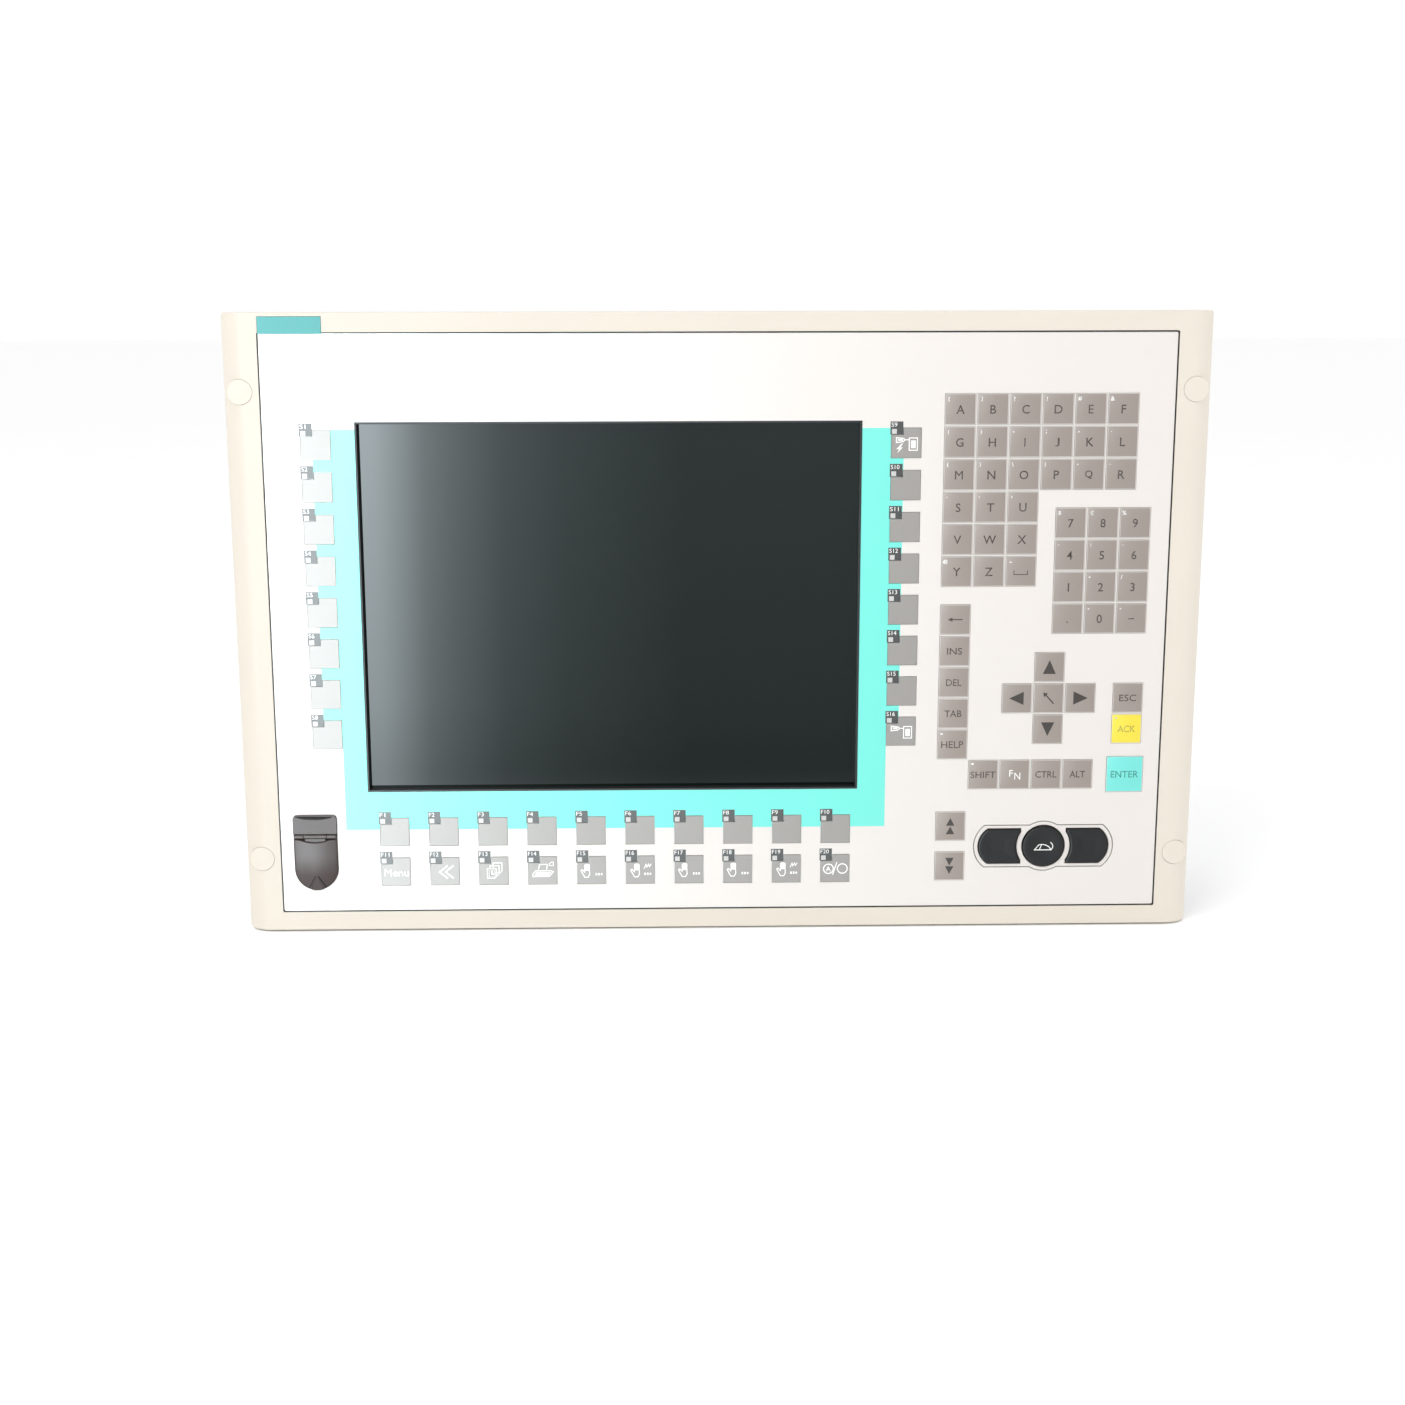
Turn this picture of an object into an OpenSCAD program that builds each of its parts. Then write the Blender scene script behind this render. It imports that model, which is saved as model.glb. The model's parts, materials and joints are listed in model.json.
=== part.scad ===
// Operator panel for a 19-inch cabinet: a key-operated display front with a
// computer unit behind it.
// X is to the right, Y goes into the cabinet, Z is up.  The origin is the
// centre of the front's rear seating face, amid the four rack holes.

/* [Front] */
// Width of the front, flank to flank
front_w = 482.6; // [470:0.1:620]
// Height of the front
front_h = 310.3; // [300:0.1:400]
// Thickness of the front at its flat face
frame_t = 10; // [9:0.5:14]
// How far each curved flank reaches in from the side
flank_w = 12; // [8:0.5:14]
// How far each flank falls back at its outer edge
flank_drop = 8.4; // [5:0.1:8.4]
// Corner radius of the front
corner_r = 2; // [1:0.5:4]
// Width of the side borders beside the foil
border_side = 18.1; // [17:0.1:20]
// Width of the top and bottom borders beside the foil
border_top = 9.3; // [9:0.1:12]
// Width of the side ledges that carry the key plate
ledge_w = 9.2; // [7:0.1:10]
// Width of the upper and lower ledges
ledge_h = 12; // [11:0.1:13]
// Shadow gap between the border and the foil
foil_gap = 0.9; // [0.4:0.1:1.5]

/* [Rack fixing] */
// Distance of the rack holes from the left and right sides
rack_side = 8.75; // [8:0.05:9.5]
// Distance of the rack holes from the top and bottom edges
rack_top = 37.675; // [15.45:0.005:60]
// Radius of a rack screw hole
rack_hole_r = 3.4; // [2.5:0.1:4]
// Radius of the cover caps over the rack holes
cap_r = 6.2; // [5:0.1:6.4]

/* [Display] */
// Width of the display window
window_w = 247.4; // [200:0.2:260]
// Height of the display window
window_h = 185.6; // [150:0.2:195]
// Left edge of the window from the left side of the front
window_left = 63.4; // [60:0.1:80]
// Upper edge of the window from the top of the front
window_top = 52.35; // [48:0.1:60]
// Depth of the glass behind the foil
window_recess = 5; // [4.6:0.1:6]
// Thickness of the protective glass
glass_t = 3; // [2:0.5:4]

/* [Keys] */
// Distance between keys in the letter and digit blocks
pitch = 16; // [15.8:0.1:17]
// Edge length of the letter, digit and control keys
key_size = 14.9; // [11:0.1:14.9]
// Edge length of the function and soft keys
soft_size = 14.6; // [11:0.1:15]
// Edge length of the enter key
enter_size = 18.4; // [15:0.1:19]
// Travel of a foil key
key_travel = 0.4; // [0.2:0.05:0.5]
// Gap round a foil key
key_gap = 0.2; // [0.15:0.05:0.25]
// Edge length of the name field at the corner of a soft key
tag_size = 6.3; // [5:0.1:7]
// Edge length of a key lamp's window
lamp_size = 2.5; // [1.5:0.1:3]

/* [Pointing device] */
// Radius of the pointing disc
disc_r = 10.6; // [8:0.1:11]
// Half height of the two buttons beside the disc
button_h = 9.1; // [7:0.1:10]
// Distance from the disc's centre to a button's outer end
button_reach = 33.3; // [28:0.1:36]
// Travel of the buttons
button_travel = 0.7; // [0.4:0.1:0.8]

/* [Port flap] */
// Width of the port flap
flap_w = 22; // [20:0.5:24]
// Height of the flap and its hinge strip together
flap_h = 39.2; // [36:0.1:44]
// Radius of the flap's hinge pin
pin_r = 0.6; // [0.5:0.05:0.8]

/* [Housing] */
// Depth of the housing behind the front's seating face
housing_d = 94; // [90:1:140]
// Thickness of the housing's sheet metal
sheet_t = 1.5; // [1:0.1:2]
// Edge length of the square fan
fan_size = 50; // [40:1:52]
// Depth of the fan
fan_depth = 15; // [10:1:25]

/* [Hidden] */
$fn = 48;
eps = 0.01;

// Depth planes, negative in front of the seating face
y_face = -frame_t;
foil_t = 1.3;
foil_drop = 0.2;
y_foil = y_face + foil_drop;
y_plate = y_foil + foil_t;
plate_t = 2;
y_plate_back = y_plate + plate_t;
y_glass = y_foil + window_recess;
board_gap = 3;
board_t = 1.6;
y_board = y_plate_back + board_gap;
dome_t = 0.4;
dome_spare = 0.1;
y_stem = y_board - dome_t - dome_spare - key_travel;

// Opening in the front frame
open_x = front_w/2 - border_side;
open_z = front_h/2 - border_top;
back_x = open_x - ledge_w;
back_z = open_z - ledge_h;
plate_fit = 0.3;

// Housing outside, which passes through the cabinet's cut-out
housing_x = open_x - 0.4;
housing_z = front_h/2 - 13.2;
lip_w = 11;
screw_inset_x = housing_x - 5;
screw_inset_z = housing_z - 5;
thread_r = 1.5;
screw_fit = 0.05;
head_r = 2.6;
head_t = 1.8;

// Display window
win_l = -front_w/2 + window_left;
win_r = win_l + window_w;
win_t = front_h/2 - window_top;
win_b = win_t - window_h;
win_c = [(win_l + win_r)/2, (win_t + win_b)/2];
surround_t = 1;
glass_over = 4;
cell_t = 2;
tray_over = 7;
tray_d = 9.8;
y_cell = y_glass + glass_t;
y_tray = y_cell + cell_t;

// Soft keys beside and below the window
s_count = 8;
s_first = win_t - 10.95;
s_pitch = (window_h - 40.8)/(s_count - 1);
s_left = win_l - 19;
s_right = win_r + 21.6;
f_count = 10;
f_first = win_l + 12.9;
f_pitch = (window_w - 23.75)/(f_count - 1);
f_upper = win_b - 20.95;
f_lower = f_upper - 20.9;
tag_at = [-4.75, 7.3];
lamp_at = [-1.2, -1.7];

// Letter block and what lines up with it
letter_at = [front_w/2 - 124.05, front_h/2 - 47];
digit_at = letter_at + [3.5*pitch, -3.5*pitch];
edit_at = letter_at + [0, -6.51*pitch];
cursor_at = edit_at + [3*pitch, -40.4];
shift_at = letter_at + [pitch, -11.5*pitch];
escape_at = [letter_at.x + 5.5*pitch, cursor_at.y];
enter_at = [escape_at.x, shift_at.y - 0.2];
page_at = [letter_at.x, f_upper + 0.9];
page_pitch = 21.1;
pointer_at = [letter_at.x + 47.85, f_upper - 9.9];
port_at = [-front_w/2 + 36.15, -front_h/2 + 41];

function grid(at, columns, rows, dx, dz) =
  [for (r = [0:rows - 1], c = [0:columns - 1]) at + [c*dx, -r*dz]];

LETTERS = concat(grid(letter_at, 6, 3, pitch, pitch),
                 grid(letter_at - [0, 3*pitch], 3, 3, pitch, pitch));
DIGITS = grid(digit_at, 3, 4, pitch, pitch);
EDITS = grid(edit_at, 1, 5, pitch, pitch);
CURSORS = [for (d = [[0, 1], [-1, 0], [0, 0], [1, 0], [0, -1]]) cursor_at + pitch*d];
SHIFTS = grid(shift_at, 4, 1, pitch, pitch);
ESCAPES = grid(escape_at, 1, 2, pitch, pitch);
PAGES = grid(page_at, 1, 2, pitch, page_pitch);
SMALL_KEYS = concat(LETTERS, DIGITS, EDITS, CURSORS, SHIFTS, ESCAPES, PAGES);
F_UPPER = grid([f_first, f_upper], f_count, 1, f_pitch, pitch);
F_LOWER = grid([f_first, f_lower], f_count, 1, f_pitch, pitch);
S_LEFT = grid([s_left, s_first], 1, s_count, pitch, s_pitch);
S_RIGHT = grid([s_right, s_first], 1, s_count, pitch, s_pitch);
SOFT_KEYS = concat(F_UPPER, F_LOWER, S_LEFT, S_RIGHT);
ALL_KEYS = concat(SMALL_KEYS, SOFT_KEYS, [enter_at]);
STATUS_LAMPS = [[win_l + 10.25, front_h/2 - 26.15], [win_l + 33.2, front_h/2 - 26.15]];
status_lamp_r = 1.5;

RACK_HOLES = [for (x = [-1, 1], z = [-1, 1])
  [x*(front_w/2 - rack_side), z*(front_h/2 - rack_top)]];
cap_wall = 1;
cap_fit = 0.1;
y_counterbore = -3;

// Posts on the key plate: tall ones for the display tray, short ones for the board
post_r = 3;
tray_post_x = [f_first + 1.5*f_pitch, f_first + 7.5*f_pitch];
tray_post_z = [win_t + 12, win_b - 13];
TRAY_POSTS = [for (x = tray_post_x, z = tray_post_z) [x, z]];
BOARD_POSTS = [[-back_x + 8, back_z - 8], [back_x - 8, back_z - 8],
               [-back_x + 30, -back_z + 6], [back_x - 6, -back_z + 8],
               [letter_at.x - 12.5, 0], [letter_at.x + 1.5*pitch, edit_at.y + 4]];

// ---- helpers -------------------------------------------------------------

// Extrudes a front-view outline (x, z) from depth y0 back to y1
module slab(y0, y1) {
  translate([0, y1, 0]) rotate([90, 0, 0]) linear_extrude(y1 - y0) children();
}

// Rectangle by centre and size
module rect(at, w, h) {
  translate([at.x - w/2, at.y - h/2]) square([w, h]);
}

// Rectangle with round corners
module round_rect(at, w, h, r) {
  rect(at, w - 2*r, h);
  rect(at, w, h - 2*r);
  for (x = [-1, 1], z = [-1, 1])
    translate([at.x + x*(w/2 - r), at.y + z*(h/2 - r)]) circle(r);
}

// Round bar or hole along Y
module peg(at, r, y0, y1) {
  translate([at.x, y1, at.y]) rotate([90, 0, 0]) cylinder(r = r, h = y1 - y0);
}

// Block between two corners
module block(low, high) {
  translate(low) cube(high - low);
}

// ---- front ---------------------------------------------------------------

// Top view of the front: a bar whose ends fall back in round flanks
flank_r = (flank_w*flank_w + flank_drop*flank_drop)/(2*flank_drop);
module front_section() {
  difference() {
    translate([-front_w/2, y_face]) square([front_w, frame_t]);
    for (side = [-1, 1]) difference() {
      translate([side*(front_w/2 - flank_w/2) - flank_w/2 - eps, y_face - eps])
        square([flank_w + 2*eps, flank_drop + eps]);
      translate([side*(front_w/2 - flank_w), y_face + flank_r]) circle(flank_r, $fn = 180);
      translate([side*(front_w/2 - flank_w - eps) - eps, y_face]) square([2*eps, flank_drop]);
    }
  }
}

module front_frame() color("antiquewhite") {
  difference() {
    intersection() {
      translate([0, 0, -front_h/2]) linear_extrude(front_h) front_section();
      slab(y_face - 1, 1) round_rect([0, 0], front_w, front_h, corner_r);
    }
    slab(y_face - 1, y_plate_back) round_rect([0, 0], 2*open_x, 2*open_z, 1);
    slab(y_plate_back - 1, 1) round_rect([0, 0], 2*back_x, 2*back_z, 3);
    // room for the port's pocket in the ledge
    slab(y_plate_back - 1, 1) rect(port_at - [0, 2], flap_w, flap_h - 8);
    for (h = RACK_HOLES) {
      peg(h, rack_hole_r, y_face - 1, 1);
      peg(h, cap_r + cap_fit, y_face - 1, y_counterbore);
    }
    // groove for the seal
    slab(-seal_depth, 1) seal_outline(0);
    for (s = LIP_SCREWS) peg(s, thread_r + screw_fit, -5, 1);
    // shallow seat for the name plate
    slab(y_face - 1, y_face + name_depth) rect(name_at, name_w + 0.2, name_h + 0.2);
  }
}

module hole_caps() color("antiquewhite")
  for (h = RACK_HOLES) difference() {
    peg(h, cap_r, y_face, y_counterbore);
    peg(h, cap_r - cap_wall, y_face + 1.2, y_counterbore + 1);
  }

name_w = 30.6;
name_h = 8.3;
name_depth = 0.6;
name_at = [-front_w/2 + border_side + name_w/2 + 0.6, front_h/2 - 5.9];
module name_plate() color("mediumturquoise")
  slab(y_face - 0.2, y_face + name_depth) rect(name_at, name_w, name_h);

seal_depth = 1.5;
seal_w = 4;
module seal_outline(inset) {
  difference() {
    rect([0, 0], 2*(open_x + 0.4 + seal_w - inset), 2*(front_h/2 - 4.5 - inset));
    rect([0, 0], 2*(open_x + 0.4 + inset), 2*(front_h/2 - 4.5 - seal_w + inset));
  }
}
module panel_seal() color("dimgray") slab(-seal_depth, 1) seal_outline(0.1);

// Outline of a soft key: a square whose corner leaves the name field free
module soft_key_outline(at, grow) {
  difference() {
    rect(at, soft_size + 2*grow, soft_size + 2*grow);
    rect(at + tag_at, tag_size + 2*key_gap - 2*grow, tag_size + 2*key_gap - 2*grow);
  }
}

// All the foil openings: keys, lamps, pointing device, port and window
module foil_openings() {
  for (k = SMALL_KEYS) rect(k, key_size + 2*key_gap, key_size + 2*key_gap);
  for (k = SOFT_KEYS) soft_key_outline(k, key_gap);
  rect(enter_at, enter_size + 2*key_gap, enter_size + 2*key_gap);
  for (k = SOFT_KEYS) rect(k + tag_at + lamp_at, lamp_size, lamp_size);
  pointer_outline(0.3);
  port_outline(0.1);
  rect(win_c, window_w, window_h);
}

module overlay_foil() color("ivory")
  slab(y_foil, y_plate) difference() {
    round_rect([0, 0], 2*(open_x - foil_gap), 2*(open_z - foil_gap), 0.6);
    foil_openings();
  }

stem_r = 2;
stem_fit = 0.3;
module key_plate() color("gainsboro") {
  slab(y_plate, y_plate_back) difference() {
    round_rect([0, 0], 2*(open_x - plate_fit), 2*(open_z - plate_fit), 0.8);
    for (k = ALL_KEYS) translate(k) circle(stem_r + stem_fit, $fn = 24);
    for (k = SOFT_KEYS) rect(k + tag_at + lamp_at, lamp_size, lamp_size);
    for (s = STATUS_LAMPS) translate(s) circle(status_lamp_r, $fn = 24);
    pointer_outline(0.3);
    port_outline(0.1);
    rect(win_c, window_w, window_h);
  }
  for (p = TRAY_POSTS) difference() {
    peg(p, post_r, y_plate_back, y_tray);
    peg(p, thread_r + screw_fit, y_tray - 5, y_tray + 1);
  }
  for (p = BOARD_POSTS) difference() {
    peg(p, post_r, y_plate_back, y_board);
    peg(p, thread_r + screw_fit, y_board - 2.5, y_board + 1);
  }
}

// One foil key: a thin cap with a stem that reaches for its dome
cap_t = 0.8;
module key_stem(at) {
  peg(at, stem_r, y_face + cap_t, y_stem);
}
module small_keys(list, size = key_size) {
  for (k = list) {
    slab(y_face, y_face + cap_t) rect(k, size, size);
    key_stem(k);
  }
}
module soft_keys(list) {
  for (k = list) {
    slab(y_face, y_face + cap_t) soft_key_outline(k, 0);
    key_stem(k);
  }
}
module function_keys_upper() color("darkgray") soft_keys(F_UPPER);
module function_keys_lower() color("darkgray") soft_keys(F_LOWER);
module soft_keys_left() color("darkgray") soft_keys(S_LEFT);
module soft_keys_right() color("darkgray") soft_keys(S_RIGHT);
module letter_keys() color("rosybrown") small_keys(LETTERS);
module digit_keys() color("rosybrown") small_keys(DIGITS);
module edit_keys() color("rosybrown") small_keys(EDITS);
module key_up() color("gray") small_keys([CURSORS[0]]);
module key_left() color("gray") small_keys([CURSORS[1]]);
module key_home() color("gray") small_keys([CURSORS[2]]);
module key_right() color("gray") small_keys([CURSORS[3]]);
module key_down() color("gray") small_keys([CURSORS[4]]);
module key_escape() color("gray") small_keys([ESCAPES[0]]);
module key_acknowledge() color("gold") small_keys([ESCAPES[1]]);
module key_enter() color("turquoise") small_keys([enter_at], enter_size);
module key_shift() color("gray") small_keys([SHIFTS[0]]);
module key_fn() color("gray") small_keys([SHIFTS[1]]);
module key_control() color("gray") small_keys([SHIFTS[2]]);
module key_alt() color("gray") small_keys([SHIFTS[3]]);
module key_page_up() color("gray") small_keys([PAGES[0]]);
module key_page_down() color("gray") small_keys([PAGES[1]]);

module light_pipes() color("white") {
  for (k = SOFT_KEYS)
    slab(y_foil, y_board) rect(k + tag_at + lamp_at, lamp_size, lamp_size);
  for (s = STATUS_LAMPS) peg(s, status_lamp_r, y_plate, y_board);
}

// ---- boards behind the foil ----------------------------------------------

board_edge = 2;
module switch_board() color("darkgreen")
  slab(y_board, y_board + board_t) difference() {
    rect([0, 0], 2*(back_x - board_edge), 2*(back_z - board_edge));
    rect(win_c, window_w + 2*glass_over + 1, window_h + 2*glass_over + 1);
    for (p = TRAY_POSTS) translate(p) circle(post_r + 0.3);
    for (p = BOARD_POSTS) translate(p) circle(thread_r + screw_fit);
    rect(pointer_at, 2*button_reach + 5, 28);
    rect(port_at - [0, 1], flap_w + 3, flap_h + 1);
  }

dome_r = 3;
module switch_domes() color("silver")
  for (k = ALL_KEYS) peg(k, dome_r, y_board - dome_t, y_board);

// ---- display -------------------------------------------------------------

module display_surround() color("black") difference() {
  union() {
    slab(y_foil + 0.1, y_plate_back) rect(win_c, window_w, window_h);
    slab(y_plate_back, y_glass)
      rect(win_c, window_w + 2*glass_over, window_h + 2*glass_over);
  }
  slab(y_foil - 1, y_glass + 1)
    rect(win_c, window_w - 2*surround_t, window_h - 2*surround_t);
}

module display_glass() color("darkslategray")
  slab(y_glass, y_cell) rect(win_c, window_w + 2*glass_over, window_h + 2*glass_over);

module display_cell() color("black")
  slab(y_cell, y_tray) rect(win_c, window_w + 2*glass_over, window_h + 2*glass_over);

tray_wall = 1;
ear_t = 2;
lamp_r = 1.6;
lamp_z = [win_b + 6, win_t - 6];
lamp_end = 8;
module display_tray() color("silver") {
  difference() {
    slab(y_tray, y_tray + tray_d)
      rect(win_c, window_w + 2*tray_over, window_h + 2*tray_over);
    slab(y_tray - 1, y_tray + tray_d - tray_wall)
      rect(win_c, window_w + 2*glass_over - 4, window_h + 2*glass_over - 4);
  }
  // holders at the lamp ends
  for (x = [win_l - glass_over + 2, win_r + glass_over - 2 - lamp_end], z = lamp_z)
    difference() {
      block([x, y_tray + 1, z - 4], [x + lamp_end, y_tray + tray_d - tray_wall, z + 4]);
      translate([x - 1, y_tray + tray_d/2, z]) rotate([0, 90, 0])
        cylinder(r = lamp_r, h = lamp_end + 2);
    }
  // ears that the posts carry
  for (x = tray_post_x) difference() {
    union() {
      block([x - 5, y_tray, win_t + tray_over - eps], [x + 5, y_tray + ear_t, win_t + 17]);
      block([x - 5, y_tray, win_b - 18], [x + 5, y_tray + ear_t, win_b - tray_over + eps]);
    }
    for (z = tray_post_z) peg([x, z], thread_r + screw_fit, y_tray - 1, y_tray + ear_t + 1);
  }
}

module backlight_lamps() color("white")
  for (z = lamp_z)
    translate([win_l - glass_over + 3, y_tray + tray_d/2, z]) rotate([0, 90, 0])
      cylinder(r = lamp_r, h = window_w + 2*glass_over - 6);

inverter_y = y_tray + tray_d;
module lamp_inverter() color("darkgreen") {
  for (x = [-52, 52]) peg(win_c + [x, -75], 2.5, inverter_y, inverter_y + 4);
  slab(inverter_y + 4, inverter_y + 4 + board_t) rect(win_c + [0, -75], 120, 26);
  for (x = [-30, 10]) block([win_c.x + x, inverter_y + 4 + board_t, win_c.y - 83],
                            [win_c.x + x + 22, inverter_y + 13, win_c.y - 66]);
}

// ---- pointing device -----------------------------------------------------

end_r = 13.7;
plate_reach = button_reach + 2.1;
plate_h = button_h + 1.7;

// Outline of the light surround: a bar with round ends and a bulge at the disc
module pointer_outline(grow) {
  intersection() {
    rect(pointer_at, 2*plate_reach + 2*grow, 2*plate_h + 2*grow);
    union() {
      rect(pointer_at, 2*(plate_reach - end_r), 4*plate_h);
      for (side = [-1, 1]) translate(pointer_at + [side*(plate_reach - end_r), 0])
        circle(end_r + grow, $fn = 96);
    }
  }
  translate(pointer_at) circle(disc_r + 2.2 + grow, $fn = 96);
}

// Outline of a button: round at its outer end, hollow towards the disc
waist_r = disc_r + 3.3;
button_end_r = 11;
tip_in = 2.2;
module button_outline(side, grow) {
  difference() {
    intersection() {
      translate(pointer_at + [side > 0 ? 0 : -button_reach - grow, -button_h - grow])
        square([button_reach + grow, 2*(button_h + grow)]);
      union() {
        rect(pointer_at + [side*(button_reach - button_end_r)/2, 0],
             button_reach - button_end_r, 4*button_h);
        translate(pointer_at + [side*(button_reach - button_end_r), 0])
          circle(button_end_r + grow, $fn = 96);
      }
    }
    translate(pointer_at) circle(waist_r - grow, $fn = 96);
    // blunts the two tips beside the disc
    rect(pointer_at, 2*(waist_r - tip_in - grow), 4*button_h);
  }
}

button_fit = 0.35;
disc_fit = 0.6;
pivot_r = 0.7;
pivot_fit = 0.05;
y_pivot = y_plate_back + 1;
ring_in = 4;
ring_out = 5.6;
lug_in = 6.2;
lug_out = disc_r + 2.6;
y_sensor = y_board;

module pointer_surround() color("whitesmoke") {
  slab(y_foil, y_plate_back) difference() {
    pointer_outline(0);
    for (side = [-1, 1]) button_outline(side, button_fit);
    translate(pointer_at) circle(disc_r + disc_fit, $fn = 96);
  }
  // lugs that carry the gimbal's outer pins
  for (side = [-1, 1]) difference() {
    block([pointer_at.x - 1.6, y_plate_back, pointer_at.y + (side > 0 ? lug_in : -lug_out)],
          [pointer_at.x + 1.6, y_pivot + 1.4, pointer_at.y + (side > 0 ? lug_out : -lug_in)]);
    translate([pointer_at.x, y_pivot, pointer_at.y]) rotate([side > 0 ? 0 : 180, 0, 0])
      cylinder(r = pivot_r + pivot_fit, h = lug_out - 2);
  }
  // posts for the sensor board, in the ring between the disc and the buttons
  for (a = [45:90:315])
    peg(pointer_at + (disc_r + 1.3)*[cos(a), sin(a)], 0.6, y_plate_back, y_sensor);
}

module pointer_gimbal() color("lightgray") {
  difference() {
    peg(pointer_at, ring_out, y_pivot - 1, y_pivot + 1);
    peg(pointer_at, ring_in, y_pivot - 2, y_pivot + 2);
    translate([pointer_at.x, y_pivot, pointer_at.y]) rotate([0, 90, 0])
      cylinder(r = pivot_r + pivot_fit, h = 4*ring_out, center = true);
  }
  for (side = [0, 180]) translate([pointer_at.x, y_pivot, pointer_at.y])
    rotate([side, 0, 0]) translate([0, 0, ring_out - 0.5]) cylinder(r = pivot_r, h = 4);
}

y_disc = y_face - 1;
disc_t = 2.4;
module pointer_disc() color("darkslategray") {
  difference() {
    peg(pointer_at, disc_r, y_disc, y_disc + disc_t);
    // shallow dish for the fingertip
    translate([pointer_at.x, y_disc - 60 + 0.5, pointer_at.y]) sphere(60, $fn = 96);
  }
  peg(pointer_at, 2.6, y_disc + disc_t, y_pivot + 1);
  translate([pointer_at.x, y_pivot, pointer_at.y]) rotate([0, 90, 0])
    cylinder(r = pivot_r, h = 2*ring_out - 0.4, center = true);
}

y_button = y_face - 1;
y_flange = y_plate_back + 0.3;
module pointer_button(side) {
  slab(y_button, y_flange) button_outline(side, 0);
  slab(y_flange, y_flange + 0.8) button_outline(side, 1);
  peg(pointer_at + [side*22, 0], 2, y_flange + 0.8, y_sensor - button_travel - 0.3);
}
module pointer_button_left() color("darkslategray") pointer_button(-1);
module pointer_button_right() color("darkslategray") pointer_button(1);

module pointer_sensor() color("darkgreen") {
  slab(y_sensor, y_sensor + board_t) rect(pointer_at, 2*button_reach + 3, 26.4);
  block([pointer_at.x - 8, y_sensor + board_t, pointer_at.y - 8],
        [pointer_at.x + 8, y_sensor + board_t + 2, pointer_at.y + 8]);
}

// ---- service port --------------------------------------------------------

// Outline of the port: round corners above, a half circle below
module port_outline(grow) {
  hw = flap_w/2;
  translate(port_at + [0, -flap_h/2 + hw]) circle(hw + grow, $fn = 72);
  translate(port_at + [-hw - grow, -flap_h/2 + hw]) square([flap_w + 2*grow, flap_h - hw - 2 + grow]);
  rect(port_at + [0, flap_h/2 - 2], flap_w - 4, 4 + 2*grow);
  for (side = [-1, 1]) translate(port_at + [side*(hw - 2), flap_h/2 - 2]) circle(2 + grow);
}

strip_h = 9.6;
hinge_z = port_at.y + flap_h/2 - 11;
hinge_y = y_foil - 1.3;
knuckle_r = 1.2;
knuckle_l = 4.5;
y_strip = y_foil - 1.6;
y_flap = y_foil - 2.6;
y_flap_back = y_foil - 0.35;
pocket_w = 16;
pocket_h = 22;
pocket_at = port_at - [0, 5];
y_pocket = 6;
socket_w = 13.2;
socket_h = 5.8;

module port_frame() color("dimgray") {
  difference() {
    union() {
      slab(y_foil, y_plate_back) port_outline(0);
      // raised strip above the hinge
      slab(y_strip, y_foil) intersection() {
        port_outline(0);
        rect(port_at + [0, flap_h/2 - strip_h/2], 2*flap_w, strip_h);
      }
      slab(y_plate_back, y_pocket + sheet_t)
        rect(pocket_at, pocket_w + 3, pocket_h + 3);
    }
    slab(y_strip - 1, y_pocket) rect(pocket_at, pocket_w, pocket_h);
    slab(y_pocket - 1, y_pocket + 3) rect(pocket_at, socket_w, socket_h);
  }
  // outer hinge knuckles
  for (side = [-1, 1]) difference() {
    union() {
      translate([port_at.x + side*(flap_w/2 - knuckle_l/2 - 0.5), hinge_y, hinge_z])
        rotate([0, 90, 0]) cylinder(r = knuckle_r, h = knuckle_l, center = true);
      block([port_at.x + side*(flap_w/2 - knuckle_l/2 - 0.5) - knuckle_l/2, hinge_y, hinge_z - 0.8],
            [port_at.x + side*(flap_w/2 - knuckle_l/2 - 0.5) + knuckle_l/2, y_foil + eps, hinge_z + 0.8]);
    }
    hinge_bore(0.05);
  }
}

module hinge_bore(fit) {
  translate([port_at.x, hinge_y, hinge_z]) rotate([0, 90, 0])
    cylinder(r = pin_r + fit, h = flap_w, center = true);
}

module flap_pin() color("silver")
  translate([port_at.x, hinge_y, hinge_z]) rotate([0, 90, 0])
    cylinder(r = pin_r, h = flap_w - 1.6, center = true);

flap_top = hinge_z - knuckle_r - 0.3;
module port_flap() color("dimgray") difference() {
  union() {
    intersection() {
      slab(y_flap, y_flap_back) port_outline(-0.1);
      block([port_at.x - flap_w, y_flap - 1, port_at.y - flap_h],
            [port_at.x + flap_w, 0, flap_top]);
      // crowned outside
      translate([port_at.x, y_flap + 34, port_at.y - flap_h/2 - 4])
        cylinder(r = 34, h = flap_h, $fn = 180);
    }
    // middle knuckle and its web
    translate([port_at.x, hinge_y, hinge_z]) rotate([0, 90, 0])
      cylinder(r = knuckle_r, h = flap_w - 2*knuckle_l - 1.6, center = true);
    block([port_at.x - (flap_w/2 - knuckle_l - 0.8), hinge_y - 0.9, flap_top - 0.5],
          [port_at.x + (flap_w/2 - knuckle_l - 0.8), hinge_y + 0.9, hinge_z]);
    // pull tab
    block([port_at.x - 2.4, y_flap - 0.1, port_at.y - flap_h/2 + 0.3],
          [port_at.x + 2.4, y_flap_back, port_at.y - flap_h/2 + 6]);
  }
  hinge_bore(0.05);
}

module port_socket() color("silver") {
  difference() {
    slab(y_pocket - 7, y_pocket + 8) rect(pocket_at, socket_w, socket_h);
    slab(y_pocket - 8, y_pocket + 6) rect(pocket_at, socket_w - 0.8, socket_h - 0.8);
  }
  slab(y_pocket - 6, y_pocket + 6.5) rect(pocket_at + [0, 1], socket_w - 2.4, 1.8);
}

// ---- housing -------------------------------------------------------------

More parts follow.
